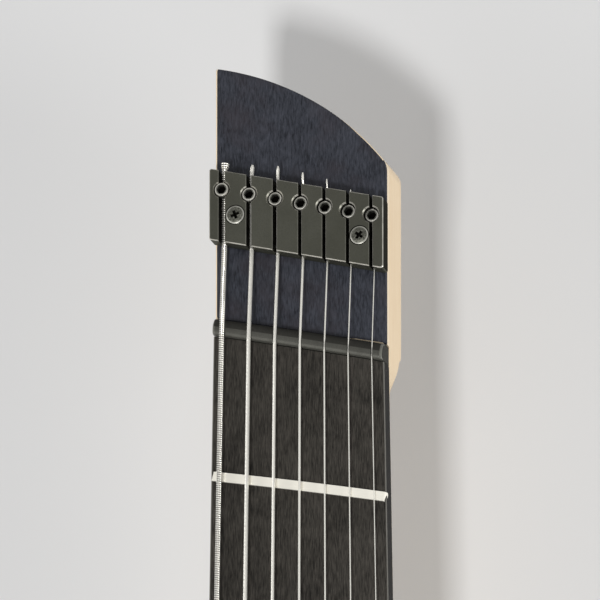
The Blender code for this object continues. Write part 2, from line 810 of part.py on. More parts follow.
def headpiece_screw(number, place, parts, cutters):
    """Countersunk cross-head wood screw that holds the headpiece down."""
    x, y = place
    tip = SCREW_SHANK_RADIUS
    profile = [(0.0, 0.0), (SCREW_HEAD_RADIUS, 0.0),
               (SCREW_HEAD_RADIUS, -SCREW_HEAD_DEPTH / 3),
               (SCREW_SHANK_RADIUS, -SCREW_HEAD_DEPTH),
               (SCREW_SHANK_RADIUS, -SCREW_LENGTH + 2 * tip), (0.0, -SCREW_LENGTH)]
    name = f"headpiece_screw_{number}"
    screw = turned_part(name, profile, black_metal(), parts, (x, y, CLAMP_TOP))
    tools = []
    for bar, (along, across) in enumerate(((CROSS_SPAN, CROSS_WIDTH), (CROSS_WIDTH, CROSS_SPAN))):
        mesh = box_mesh("cross", (-along / 2, -across / 2, -CROSS_DEPTH),
                        (along / 2, across / 2, CROSS_DEPTH))
        tools.append(cutter(f"cross_{number}_{bar}", mesh, cutters, (x, y, CLAMP_TOP)))
    combine(screw, tools)


def neck_pocket(name, cutters):
    """Space for the heel, open at the front of the body."""
    start = HEEL_END - CLEAR
    end = start + 2 * HEEL_LENGTH + HEEL_BLEND
    first = neck_half_width(start) + CLEAR
    last = neck_half_width(end) + CLEAR
    outline = ((-first, start), (first, start), (last, end), (-last, end))
    mesh = flat_mesh(name, outline, POCKET_Z, BODY_DEPTH + POCKET_DEPTH)
    return cutter(name, mesh, cutters)


def base_edges(index):
    """Front and tail of one string's bay of the bridge base."""
    front = fan_y(0.0, BRIDGE_X[index]) + BASE_FRONT
    return front, front - BASE_LENGTH


def tuner_notch(name, cutters):
    """Notch through the tail that leaves room for fingers round the tuning knobs."""
    half = NOTCH_WIDTH / 2
    slope = fan_slope(0.0)
    level = -(BASE_LENGTH - BASE_FRONT) - NOTCH_MARGIN
    far = level - BODY_DEPTH * 3
    bass = level - slope * half
    treble = level + slope * half
    outline = fillet(((half, treble), (half, far), (-half, far), (-half, bass)), NOTCH_CORNER)
    return cutter(name, flat_mesh(name, outline, -BODY_DEPTH, 2 * BODY_DEPTH), cutters)


def pickup_outline(y, grow):
    """Slanted plan of a pickup, or of its cavity when grown."""
    share = (y - fan_y(0.0, 0.0)) / (NUT_Y - fan_y(0.0, 0.0))
    angle = math.atan(fan_slope(share))
    along = Vector((math.cos(angle), math.sin(angle))) * (PICKUP_LENGTH / 2 + grow)
    across = Vector((-math.sin(angle), math.cos(angle))) * (PICKUP_WIDTH / 2 + grow)
    middle = Vector((0.0, y))
    corners = (middle - along - across, middle + along - across,
               middle + along + across, middle - along + across)
    return fillet(corners, PICKUP_CORNER)


def pickup_cavity(name, y, cutters):
    top = BODY_DEPTH + PICKUP_ABOVE
    mesh = flat_mesh(name, pickup_outline(y, CLEAR), top - PICKUP_HEIGHT - CLEAR, top)
    return cutter(name, mesh, cutters)


def pickup(name, y, parts):
    """Covered humbucker, let into the body below the strings."""
    top = BODY_DEPTH + PICKUP_ABOVE
    mesh = flat_mesh(name, pickup_outline(y, 0.0), top - PICKUP_HEIGHT, top)
    add(name, mesh, black_plastic(), parts)


def bolt_places():
    half = PLATE_WIDTH / 2 - BOLT_INSET
    ends = (PLATE_START + BOLT_INSET, PLATE_START + PLATE_LENGTH - BOLT_INSET)
    return [(x, y) for x in (-half, half) for y in ends]


def bolt_holes(name, cutters):
    """Clearance holes for the neck bolts, from below the back into the heel."""
    length = POCKET_Z + BOLT_INTO_NECK + 2 * CLEAR
    tools = []
    for i, (x, y) in enumerate(bolt_places()):
        mesh = rod_mesh("bolt_hole", BOLT_RADIUS + CLEAR, length + BOLT_RADIUS, 16)
        tools.append(cutter(f"{name}_bolt_hole_{i}", mesh, cutters, (x, y, -BOLT_RADIUS)))
    return tools


def plate_outline(grow):
    half = PLATE_WIDTH / 2 + grow
    start = PLATE_START - grow
    end = PLATE_START + PLATE_LENGTH + grow
    return fillet(((-half, start), (half, start), (half, end), (-half, end)), PLATE_CORNER)


def neck_plate(parts, cutters):
    """Plate let into the back, with its four bolts that hold the neck."""
    top = PLATE_RECESS - CLEAR
    plate = add("neck_plate", flat_mesh("neck_plate", plate_outline(0.0), top - PLATE_THICK, top),
                black_metal(), parts)
    tools = []
    for i, (x, y) in enumerate(bolt_places()):
        start = top - PLATE_THICK / 2
        mesh = rod_mesh("bolt", BOLT_RADIUS, POCKET_Z + BOLT_INTO_NECK - start, 16)
        tools.append(cutter(f"bolt_{i}", mesh, cutters, (x, y, start)))
    combine(plate, tools, "UNION")


def cavity_outline(grow):
    """Plan of the control cavity, grown evenly for the ledge and its cover."""
    middle = Vector((sum(x for x, _ in CAVITY), sum(y for _, y in CAVITY))) / len(CAVITY)
    corners = []
    for corner in CAVITY:
        out = (Vector(corner) - middle).normalized()
        corners.append(Vector(corner) + out * grow)
    return fillet(corners, CAVITY_CORNER)


def rear_cover(parts):
    """Cover of the control cavity, flush with the back."""
    mesh = flat_mesh("rear_cover", cavity_outline(COVER_LEDGE), CLEAR, CLEAR + COVER_THICK)
    add("rear_cover", mesh, black_plastic(), parts)


def pot(name, place, parts):
    """Potentiometer: can in the cavity, threaded bush through the wood."""
    x, y = place
    top = CAVITY_TOP - CLEAR
    profile = [
        (0.0, top - POT_DEPTH + SHAFT_IN_POT - CLEAR),
        (SHAFT_RADIUS + CLEAR, top - POT_DEPTH + SHAFT_IN_POT - CLEAR),
        (SHAFT_RADIUS + CLEAR, BODY_DEPTH + BUSH_ABOVE),
        (BUSH_RADIUS, BODY_DEPTH + BUSH_ABOVE),
        (BUSH_RADIUS, top), (POT_RADIUS, top), (POT_RADIUS, top - POT_DEPTH),
        (0.0, top - POT_DEPTH)]
    turned_part(name, profile, steel(), parts, (x, y, 0.0))


def control_knob(name, place, parts):
    """Knob with its shaft, which turns in the potentiometer."""
    x, y = place
    foot = BODY_DEPTH + DIAL_LIFT
    top = foot + DIAL_HEIGHT
    hollow = BODY_DEPTH + BUSH_ABOVE + 2 * CLEAR
    end = CAVITY_TOP - CLEAR - POT_DEPTH + SHAFT_IN_POT
    profile = [
        (0.0, top), (DIAL_RADIUS - DIAL_RIM, top), (DIAL_RADIUS, top - DIAL_RIM),
        (DIAL_RADIUS, foot), (BUSH_RADIUS + 3 * CLEAR, foot), (BUSH_RADIUS + 3 * CLEAR, hollow),
        (SHAFT_RADIUS, hollow), (SHAFT_RADIUS, end), (0.0, end)]
    turned_part(name, profile, black_metal(), parts, (x, y, 0.0), steps=28)


def pot_hole(name, place, cutters):
    mesh = rod_mesh(name, BUSH_RADIUS + CLEAR, BODY_DEPTH)
    return cutter(name, mesh, cutters, (place[0], place[1], CAVITY_TOP - POT_DEPTH))


def selector_tip_start():
    """Distance from the pivot at which the tip clears the body at full swing."""
    swing = math.radians(SELECTOR_SWING)
    face = SELECTOR_PIVOT_DEPTH + SELECTOR_TIP_LIFT
    return (face + SELECTOR_TIP_RADIUS * math.sin(swing)) / math.cos(swing)


def selector_slot(name, cutters):
    """Slot in the body that the selector lever swings in."""
    swing = math.radians(SELECTOR_SWING)
    half_length = SELECTOR_PIVOT_DEPTH * math.tan(swing) + SELECTOR_WIDTH / math.cos(swing)
    half_width = SELECTOR_THICK / 2 + 2 * CLEAR
    x, y = SELECTOR_AT
    mesh = box_mesh(name, (x - half_width, y - half_length, CAVITY_TOP - CLEAR),
                    (x + half_width, y + half_length, 2 * BODY_DEPTH))
    return cutter(name, mesh, cutters)


def selector_switch(parts, cutters):
    """Selector switch under the top, with the slot its lever swings in."""
    x, y = SELECTOR_AT
    pivot = BODY_DEPTH - SELECTOR_PIVOT_DEPTH
    low = (x - SWITCH_WIDTH / 2, y - SWITCH_LENGTH / 2, CAVITY_TOP - CLEAR - SWITCH_HEIGHT)
    high = (x + SWITCH_WIDTH / 2, y + SWITCH_LENGTH / 2, CAVITY_TOP - CLEAR)
    frame = add("selector_switch", box_mesh("selector_switch", low, high), steel(), parts)
    half = SWITCH_LENGTH / 2 - 2 * POCKET_BACK
    gap = SELECTOR_THICK / 2 + CLEAR
    slot = box_mesh("switch_slot", (x - gap, y - half, pivot - SELECTOR_WIDTH / 2 - CLEAR),
                    (x + gap, y + half, BODY_DEPTH))
    combine(frame, [cutter("switch_slot", slot, cutters)])


def selector_lever(parts, cutters):
    """Lever of the selector, from its pivot to the tip above the body."""
    x, y = SELECTOR_AT
    pivot = BODY_DEPTH - SELECTOR_PIVOT_DEPTH
    start = selector_tip_start()
    half = SELECTOR_WIDTH / 2
    blade = box_mesh("selector_lever", (-SELECTOR_THICK / 2, -half, -half),
                     (SELECTOR_THICK / 2, half, start + SELECTOR_TIP_LENGTH / 2))
    lever = add("selector_lever", blade, black_metal(), parts, (x, y, pivot))
    tip = cutter("selector_tip", rod_mesh("selector_tip", SELECTOR_TIP_RADIUS, SELECTOR_TIP_LENGTH),
                 cutters, (x, y, pivot + start))
    combine(lever, [tip], "UNION")


def jack_spot(name, radius, start, length, cutters):
    """Round cut from the treble side, along X."""
    mesh = rod_mesh(name, radius, length)
    return cutter(name, mesh, cutters, (start, JACK_Y, JACK_HEIGHT), (0.0, math.pi / 2, 0.0))


def output_jack(parts):
    """Output socket in the treble side, its barrel reaching into the control cavity."""
    profile = [
        (0.0, -JACK_BORE), (JACK_BORE_RADIUS, -JACK_BORE), (JACK_BORE_RADIUS, JACK_FLANGE),
        (JACK_FLANGE_RADIUS, JACK_FLANGE), (JACK_FLANGE_RADIUS, 0.0), (JACK_BARREL_RADIUS, 0.0),
        (JACK_BARREL_RADIUS, -JACK_BARREL), (0.0, -JACK_BARREL)]
    turned_part("output_jack", profile, black_metal(), parts,
                (JACK_FACE_X + CLEAR, JACK_Y, JACK_HEIGHT), (0.0, math.pi / 2, 0.0))


def strap_button(name, place, way, parts):
    """Strap button with its screw, standing out along Y from the body's edge."""
    profile = [
        (0.0, BUTTON_LENGTH), (BUTTON_RADIUS - 0.001, BUTTON_LENGTH),
        (BUTTON_RADIUS, BUTTON_LENGTH - 0.001), (BUTTON_RADIUS, BUTTON_LENGTH * 0.75),
        (BUTTON_WAIST, BUTTON_LENGTH * 0.5), (BUTTON_WAIST, BUTTON_LENGTH * 0.25),
        (BUTTON_RADIUS * 0.8, 0.0), (BUTTON_SCREW_RADIUS, 0.0),
        (BUTTON_SCREW_RADIUS, -BUTTON_SCREW), (0.0, -BUTTON_SCREW)]
    turned_part(name, profile, black_metal(), parts,
                (place[0], place[1] + way * CLEAR, BUTTON_HEIGHT), (-way * math.pi / 2, 0.0, 0.0))


def button_seat(name, place, way, cutters):
    """Flat seat and screw hole for a strap button."""
    turn = (-way * math.pi / 2, 0.0, 0.0)
    seat = rod_mesh("seat", BUTTON_RADIUS, BUTTON_LENGTH * 2)
    hole = rod_mesh("hole", BUTTON_SCREW_RADIUS + CLEAR, BUTTON_SCREW * 2, 16)
    start = place[1] - way * (BUTTON_SCREW + CLEAR)
    return [
        cutter(f"{name}_seat", seat, cutters, (place[0], place[1], BUTTON_HEIGHT), turn),
        cutter(f"{name}_hole", hole, cutters, (place[0], start, BUTTON_HEIGHT), turn)]


def shared_body_cuts(name, cutters):
    """Cuts that pass through both the core and the top."""
    return [
        neck_pocket(f"{name}_neck_pocket", cutters),
        tuner_notch(f"{name}_notch", cutters),
        pickup_cavity(f"{name}_neck_pickup_cavity", NECK_PICKUP_Y, cutters),
        pickup_cavity(f"{name}_bridge_pickup_cavity", BRIDGE_PICKUP_Y, cutters),
        pot_hole(f"{name}_volume_hole", VOLUME_AT, cutters),
        pot_hole(f"{name}_tone_hole", TONE_AT, cutters),
        selector_slot(f"{name}_selector_slot", cutters)]


def body_core(parts, cutters):
    """Light wooden core with its cavities, rounded towards the back."""
    mesh = flat_mesh("body_core", OUTLINE, 0.0, CORE_TOP + 2 * BODY_EDGE, True, BODY_EDGE)
    core = add("body_core", mesh, look("body_wood", (0.62, 0.44, 0.25), 0.5), parts)
    far = 2 * BASS_SCALE
    above = box_mesh("above_core", (-far, -far, CORE_TOP), (far, far, far))
    cavity = flat_mesh("control_cavity", cavity_outline(0.0), COVER_THICK, CAVITY_TOP)
    ledge = flat_mesh("cover_ledge", cavity_outline(COVER_LEDGE + CLEAR), -BODY_EDGE,
                      COVER_THICK + 2 * CLEAR)
    recess = flat_mesh("plate_recess", plate_outline(CLEAR), -BODY_EDGE, PLATE_RECESS)
    tools = [
        cutter("above_core", above, cutters),
        cutter("control_cavity", cavity, cutters),
        cutter("cover_ledge", ledge, cutters),
        cutter("plate_recess", recess, cutters),
        jack_spot("jack_seat", JACK_FLANGE_RADIUS + CLEAR, JACK_FACE_X, BODY_DEPTH, cutters),
        jack_spot("jack_hole", JACK_BARREL_RADIUS + CLEAR, JACK_FACE_X - JACK_BARREL - CLEAR,
                  JACK_BARREL + BODY_DEPTH, cutters)]
    tools += shared_body_cuts("core", cutters)
    tools += bolt_holes("core", cutters)
    tools += button_seat("horn_button", HORN_BUTTON, 1, cutters)
    tools += button_seat("tail_button", TAIL_BUTTON, -1, cutters)
    combine(core, tools)


def body_top(parts, cutters):
    """Stained top on the core."""
    low = CORE_TOP + CLEAR
    mesh = flat_mesh("body_top", OUTLINE, low - 2 * TOP_EDGE, BODY_DEPTH, True, TOP_EDGE)
    top = add("body_top", mesh, stained_wood(), parts)
    far = 2 * BASS_SCALE
    below = box_mesh("below_top", (-far, -far, -far), (far, far, low))
    combine(top, [cutter("below_top", below, cutters)] + shared_body_cuts("top", cutters))


def bridge_base(parts, cutters):
    """Bridge base: stepped bays with a channel, a front wall and a tail wall each."""
    half = SADDLE_PITCH / 2
    front_side = []
    tail_side = []
    for i, x in enumerate(BRIDGE_X):
        front, tail = base_edges(i)
        front_side += [(x - half, front), (x + half, front)]
        tail_side += [(x - half, tail), (x + half, tail)]
    outer = (SADDLE_PITCH - CHANNEL_WIDTH) / 2
    for side, shift in ((0, -outer), (-1, outer)):
        front_side[side] = (front_side[side][0] + shift, front_side[side][1])
        tail_side[side] = (tail_side[side][0] + shift, tail_side[side][1])
    outline = tail_side + front_side[::-1]
    base = add("bridge_base", flat_mesh("bridge_base", outline, BASE_Z, WALL_Z),
               black_metal(), parts)
    tools = []
    for i, x in enumerate(BRIDGE_X):
        front, tail = base_edges(i)
        channel = box_mesh("channel", (x - CHANNEL_WIDTH / 2, tail + TAIL_WALL, FLOOR_Z),
                           (x + CHANNEL_WIDTH / 2, front - FRONT_WALL, 2 * WALL_Z))
        hole = rod_mesh("tuner_hole", TUNER_SCREW_RADIUS + CLEAR, 3 * TAIL_WALL)
        tools.append(cutter(f"channel_{i}", channel, cutters))
        tools.append(cutter(f"tuner_hole_{i}", hole, cutters,
                            (x, tail + 2 * TAIL_WALL, SCREW_AXIS_Z), (math.pi / 2, 0.0, 0.0)))
    combine(base, tools)


def saddle(index, parts):
    """Saddle block whose crest carries one string."""
    x = BRIDGE_X[index]
    y = fan_y(0.0, x)
    low = FLOOR_Z + CLEAR
    crest = string_height_at_bridge(index) - CLEAR
    rear = SADDLE_FRONT - SADDLE_LENGTH
    arc = [math.pi / 2 * step / 4 for step in range(5)]
    profile = [(rear, low), (SADDLE_FRONT, low), (SADDLE_FRONT, crest - SADDLE_FRONT)]
    profile += [(SADDLE_FRONT * math.cos(a), crest - SADDLE_FRONT * (1 - math.sin(a)))
                for a in arc[1:]]
    profile += [(-SADDLE_CREST, crest - 0.12 * SADDLE_CREST), (rear, crest + rear / 3)]
    half = CHANNEL_WIDTH / 2 - CLEAR
    rings = [[(side, y + along, up) for along, up in profile] for side in (x - half, x + half)]
    name = f"saddle_{STRINGS - index}"
    add(name, loft_mesh(name, rings), steel(), parts)


def carriage(index, parts, cutters):
    """Sliding carriage: a threaded block with an open pocket for the ball end."""
    x = BRIDGE_X[index]
    front = carriage_y(index)
    half = CHANNEL_WIDTH / 2 - CLEAR
    low = FLOOR_Z + CLEAR - SCREW_AXIS_Z
    top = BALL_Z + BALL_RADIUS - SCREW_AXIS_Z
    name = f"carriage_{STRINGS - index}"
    block = add(name, box_mesh(name, (-half, -CARRIAGE_LENGTH, low), (half, 0.0, top)),
                black_metal(), parts, (x, front, SCREW_AXIS_Z))
    bore = rod_mesh("carriage_bore", TUNER_SCREW_RADIUS + CLEAR, 2 * CARRIAGE_LENGTH)
    floor = BALL_FLOOR_Z
    wide = BALL_LENGTH / 2 + POCKET_SIDE
    back = ball_y(index) - BALL_RADIUS - POCKET_SIDE
    pocket = box_mesh("ball_pocket", (x - wide, back, floor),
                      (x + wide, front - POCKET_BACK, 2 * WALL_Z))
    narrow = GAUGES[index] / 2 + CLEAR
    slot_floor = BALL_Z - GAUGES[index] / 2 - CLEAR
    slot = box_mesh("ball_slot", (x - narrow, back, slot_floor),
                    (x + narrow, front + CARRIAGE_LENGTH, 2 * WALL_Z))
    combine(block, [
        cutter(f"carriage_bore_{index}", bore, cutters, (x, front + CLEAR * 2, SCREW_AXIS_Z),
               (math.pi / 2, 0.0, 0.0)),
        cutter(f"ball_pocket_{index}", pocket, cutters),
        cutter(f"ball_slot_{index}", slot, cutters)])


def tuner_knob(index, parts):
    """Tuning knob with its screw, which draws the carriage back."""
    x = BRIDGE_X[index]
    _, tail = base_edges(index)
    reach = fan_y(0.0, x) - TUNER_SCREW_FRONT - tail
    near = KNOB_RADIUS - KNOB_CHAMFER
    profile = [
        (0.0, reach), (TUNER_SCREW_RADIUS, reach), (TUNER_SCREW_RADIUS, -CLEAR),
        (near, -CLEAR), (KNOB_RADIUS, -CLEAR - KNOB_CHAMFER),
        (KNOB_RADIUS, -KNOB_LENGTH + KNOB_CHAMFER), (near, -KNOB_LENGTH), (0.0, -KNOB_LENGTH)]
    turned_part(f"tuner_knob_{STRINGS - index}", profile, black_metal(), parts,
                (x, tail, SCREW_AXIS_Z), (-math.pi / 2, 0.0, 0.0), steps=18)


def build():
    for old in list(bpy.data.objects):
        bpy.data.objects.remove(old)
    parts = bpy.data.collections.new("seven_string_guitar")
    cutters = bpy.data.collections.new("cutters")
    for collection in (parts, cutters):
        bpy.context.scene.collection.children.link(collection)
    body_core(parts, cutters)
    body_top(parts, cutters)
    neck(parts, cutters)
    truss_rod(parts)
    fretboard(parts, cutters)
    nut(parts, cutters)
    headstock_cap(parts, cutters)
    headpiece(parts, cutters)
    for number, place in enumerate(clamp_screw_places(), 1):
        headpiece_screw(number, place, parts, cutters)
    neck_plate(parts, cutters)
    bridge_base(parts, cutters)
    for i in range(STRINGS):
        string(i, parts, cutters)
        grub_screw(i, parts, cutters)
        saddle(i, parts)
        carriage(i, parts, cutters)
        tuner_knob(i, parts)
    pickup("neck_pickup", NECK_PICKUP_Y, parts)
    pickup("bridge_pickup", BRIDGE_PICKUP_Y, parts)
    for name, place in (("volume", VOLUME_AT), ("tone", TONE_AT)):
        pot(f"{name}_pot", place, parts)
        control_knob(f"{name}_knob", place, parts)
    selector_switch(parts, cutters)
    selector_lever(parts, cutters)
    rear_cover(parts)
    output_jack(parts)
    strap_button("strap_button_horn", HORN_BUTTON, 1, parts)
    strap_button("strap_button_tail", TAIL_BUTTON, -1, parts)


build()
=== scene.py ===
import math

import bmesh
import bpy
from mathutils import Matrix, Vector


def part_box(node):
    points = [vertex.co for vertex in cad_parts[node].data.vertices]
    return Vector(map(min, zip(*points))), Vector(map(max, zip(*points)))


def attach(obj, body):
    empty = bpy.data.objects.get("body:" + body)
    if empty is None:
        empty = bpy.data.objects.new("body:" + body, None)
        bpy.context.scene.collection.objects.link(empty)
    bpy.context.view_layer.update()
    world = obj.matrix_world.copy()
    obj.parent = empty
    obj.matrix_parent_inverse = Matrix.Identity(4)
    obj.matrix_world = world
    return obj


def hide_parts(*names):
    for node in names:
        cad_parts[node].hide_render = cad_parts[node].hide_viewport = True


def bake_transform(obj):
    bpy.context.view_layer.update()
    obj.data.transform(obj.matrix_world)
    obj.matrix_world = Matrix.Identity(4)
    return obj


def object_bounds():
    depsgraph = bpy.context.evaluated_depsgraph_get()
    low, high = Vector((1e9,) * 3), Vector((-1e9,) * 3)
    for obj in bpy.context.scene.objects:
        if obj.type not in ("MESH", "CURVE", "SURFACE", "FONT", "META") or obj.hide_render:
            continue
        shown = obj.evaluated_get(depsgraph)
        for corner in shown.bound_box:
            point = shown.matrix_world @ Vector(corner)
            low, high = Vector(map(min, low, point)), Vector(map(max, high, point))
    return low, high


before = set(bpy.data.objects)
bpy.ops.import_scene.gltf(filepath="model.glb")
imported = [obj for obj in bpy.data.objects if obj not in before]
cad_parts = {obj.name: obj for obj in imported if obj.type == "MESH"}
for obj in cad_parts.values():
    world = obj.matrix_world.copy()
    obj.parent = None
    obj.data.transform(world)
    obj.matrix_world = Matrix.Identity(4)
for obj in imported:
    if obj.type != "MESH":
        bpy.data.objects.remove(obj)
cad_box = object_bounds()


# Tools for nodes and objects. All materials and repeated forms below are wired with them.
def plug(tree, node, inputs):
    """Gives inputs their values, or the sockets that feed them; a colour is three numbers."""
    for key, value in dict(inputs).items():
        socket = node.inputs[key]
        if isinstance(value, bpy.types.NodeSocket):
            tree.links.new(value, socket)
        else:
            socket.default_value = (*value, 1) if socket.type == "RGBA" else value
    return node


def settle(made, **settings):
    """A thing just made, with its settings."""
    for name, value in settings.items():
        setattr(made, name, value)
    return made


def add_node(tree, kind, inputs=(), **settings):
    """One new node. Its settings come first, because they decide which inputs it has."""
    return plug(tree, settle(tree.nodes.new(kind), **settings), inputs)


def output(tree, kind, inputs=(), pick=0, **settings):
    """An output of a new node: the first one, if no other is picked."""
    return add_node(tree, kind, inputs, **settings).outputs[pick]


def calc(tree, operation, *values, clamp=False):
    """Result of a Math node."""
    return output(tree, "ShaderNodeMath", enumerate(values), operation=operation,
                  use_clamp=clamp)


def ranged(tree, value, low=0.0, high=1.0, start=0.0, end=1.0, **settings):
    """A value taken from one range to another."""
    return output(tree, "ShaderNodeMapRange", enumerate((value, low, high, start, end)),
                  **settings)


def mixed(tree, share, first, second):
    """A colour between two others."""
    return output(tree, "ShaderNodeMix", {0: share, 6: first, 7: second}, 2, data_type="RGBA")


def noise(tree, vector, scale, detail=2.0, roughness=0.5, distortion=0.0):
    """Value of a noise texture."""
    return output(tree, "ShaderNodeTexNoise", {
        "Vector": vector, "Scale": scale, "Detail": detail, "Roughness": roughness,
        "Distortion": distortion})


def scaled(tree, vector, size):
    return output(tree, "ShaderNodeVectorMath", {0: vector, "Scale": size}, operation="SCALE")


def new_group(name, kind, inputs, outputs):
    """An empty node group. A socket is given its first value, or the word for its kind."""
    group = bpy.data.node_groups.new(name, kind)
    for way, sockets in (("INPUT", inputs), ("OUTPUT", outputs)):
        for label, value in sockets.items():
            word = {float: "Float", int: "Int", tuple: "Color"}.get(type(value), value)
            made = group.interface.new_socket(label, in_out=way, socket_type=f"NodeSocket{word}")
            if word != value:
                made.default_value = value
    return group, group.nodes.new("NodeGroupInput").outputs, group.nodes.new("NodeGroupOutput")


def new_material(name):
    """An empty node material: itself, its tree, its Principled shader, object coordinates."""
    material = bpy.data.materials.new(name)
    material.use_nodes = True
    tree = material.node_tree
    place = output(tree, "ShaderNodeTexCoord", pick="Object")
    return material, tree, tree.nodes["Principled BSDF"], place


def add_object(name, data):
    made = bpy.data.objects.new(name, data)
    bpy.context.scene.collection.objects.link(made)
    return made


def points_mesh(points, closed=None):
    """A mesh of loose points; closed is False for a line through them, True for a loop."""
    mesh = bpy.data.meshes.new("points")
    count = 0 if closed is None else len(points) if closed else len(points) - 1
    mesh.from_pydata(points, [(i, (i + 1) % len(points)) for i in range(count)], [])
    return mesh


# The studio: a pale floor under the guitar's flat back, large soft lamps low on both sides
# and an even sky. The camera looks down on the headstock from the treble side, from far off.
def looked_at(tree):
    """1 for rays of the camera, of gloss and of glass, 0 for rays that only light things."""
    ray = add_node(tree, "ShaderNodeLightPath").outputs
    plain = calc(tree, "MAXIMUM", ray["Is Camera Ray"], ray["Is Glossy Ray"])
    return calc(tree, "MAXIMUM", plain, ray["Is Transmission Ray"])


floor_paint, tree, shader, place = new_material("studio_floor")
tone = ranged(tree, noise(tree, place, 1.3), start=0.70, end=0.74)
plug(tree, shader, {"Base Color": tone, "Roughness": 0.9})
front = calc(tree, "SUBTRACT", 1.0, output(tree, "ShaderNodeNewGeometry", pick="Backfacing"))
one_sided = output(tree, "ShaderNodeMixShader", {
    0: calc(tree, "MULTIPLY", looked_at(tree), front),
    1: output(tree, "ShaderNodeBsdfTransparent"), 2: shader.outputs[0]})
plug(tree, tree.nodes["Material Output"], {"Surface": one_sided})
reach = 6.0
ground = cad_box[0][2] - 0.0004
floor_mesh = bpy.data.meshes.new("studio_floor")
floor_mesh.from_pydata(
    [(-reach, -reach, ground), (reach, -reach, ground),
     (reach, reach, ground), (-reach, reach, ground)], [], [(0, 1, 2, 3)])
floor_mesh.materials.append(floor_paint)
floor = add_object("studio_floor", floor_mesh)

world = bpy.data.worlds.new("studio_sky")
bpy.context.scene.world = world
world.use_nodes = True
tree = world.node_tree
strength = ranged(tree, looked_at(tree), start=0.32, end=0.5)
plug(tree, tree.nodes["Background"], {"Color": (1.0, 1.0, 1.0), "Strength": strength})

lit_middle = Vector((0.0, 0.5, 0.0))
for name, size, power, spot in (
        ("left_lamp", 2.4, 40.0, (-3.4, -0.1, 1.6)),
        ("right_lamp", 1.8, 100.0, (3.4, -0.7, 1.0)),
        ("front_lamp", 1.8, 14.0, (-1.2, -3.3, 1.8)),
        ("key_lamp", 0.6, 82.0, (-0.2, -1.5, 3.6))):
    lamp = settle(bpy.data.lights.new(name, "AREA"), shape="SQUARE", size=size, energy=power)
    aim = (Vector(spot) - lit_middle).to_track_quat("Z", "Y").to_matrix().to_4x4()
    settle(add_object(name, lamp), visible_camera=False,
           matrix_world=Matrix.Translation(spot) @ aim)

view_centre = Vector((0.00195, 0.6875, 0.0586))
view_right = Vector((0.9649, 0.0, -0.2630))
view_up = Vector((0.0815, 0.9507, 0.2991))
view_back = view_right.cross(view_up).normalized()
view_distance = 7.0
view_width = 0.15645
sensor = 36.0
lens = settle(bpy.data.cameras.new("camera"), sensor_width=sensor,
              lens=sensor * view_distance / view_width, clip_start=0.01, clip_end=500.0)
camera = add_object("camera", lens)
turn = Matrix((view_right, view_up, view_back)).transposed().to_4x4()
camera.matrix_world = Matrix.Translation(view_centre + view_back * view_distance) @ turn
bpy.context.scene.camera = camera
bpy.context.scene.view_settings.view_transform = "Standard"


# The fan: a 27 in bass string and a 26.25 in treble string share a square twelfth fret, so
# every line between them, nut, frets and bridge, has its own slant.
gauges = (0.00150, 0.00117, 0.00091, 0.00066, 0.00043, 0.00033, 0.00025)
string_gap = 0.0060
saddle_pitch = 0.0105
bass_scale = 0.6858
treble_scale = 0.66675
nut_x = [0.0]
for thick, thin in zip(gauges, gauges[1:]):
    nut_x.append(nut_x[-1] + thick / 2 + string_gap + thin / 2)
nut_x = [x - nut_x[-1] / 2 for x in nut_x]
bridge_x = [(i - 3) * saddle_pitch for i in range(7)]
octave_y = (bass_scale + treble_scale) / 4


def fan_y(share, x):
    """Y of the fan line at a share of the string length (0 bridge, 1 nut), where it crosses x."""
    ends = []
    for scale, index in ((bass_scale, 0), (treble_scale, -1)):
        across = bridge_x[index] + (nut_x[index] - bridge_x[index]) * share
        ends.append((across, octave_y - scale / 2 + scale * share))
    (x0, y0), (x1, y1) = ends
    return y0 + (y1 - y0) * (x - x0) / (x1 - x0)


def fret_share(number):
    return 2 ** (-number / 12)


board_z = 0.0535
board_under = 0.0480
board_radius = 0.400
nut_width = 0.0460
last_fret = 24
last_fret_width = 0.0625
nut_line = fan_y(1.0, 0.0)
last_fret_line = fan_y(fret_share(last_fret), 0.0)


def neck_half(y):
    """Half the width of neck and fretboard at a place along them."""
    share = max((nut_line - y) / (nut_line - last_fret_line), 0.0)
    return (nut_width + (last_fret_width - nut_width) * share) / 2


def board_edge(share, side, shift=0.0):
    """Where a fan line meets the edge of the fretboard on one side."""
    x = side * nut_width / 2
    for _ in range(4):
        y = fan_y(share, x) + shift
        x = side * neck_half(y)
    return Vector((x, y))


def camber(x):
    return board_radius - math.sqrt(board_radius ** 2 - x ** 2)


# Tools for solids: skins over rings, turned and cut blanks, and the last step of each piece.
def to_mesh(shape):
    mesh = bpy.data.meshes.new("shape")
    shape.to_mesh(mesh)
    shape.free()
    return mesh


def loft(rings):
    """Closed skin over rings with equal numbers of points."""
    shape = bmesh.new()
    made = [[shape.verts.new(point) for point in ring] for ring in rings]
    count = len(made[0])
    for first, second in zip(made, made[1:]):
        for i in range(count):
            shape.faces.new((first[i], first[(i + 1) % count],
                             second[(i + 1) % count], second[i]))
    shape.faces.new(made[0])
    shape.faces.new(made[-1])
    bmesh.ops.recalc_face_normals(shape, faces=shape.faces)
    return shape


def prism(outline, low, high):
    """Flat outline drawn out from one height to another."""
    return loft([[(x, y, z) for x, y in outline] for z in (low, high)])


def hexagon(reach, low, high):
    angles = [math.pi * k / 3 for k in range(6)]
    return prism([(reach * math.cos(a), reach * math.sin(a)) for a in angles], low, high)


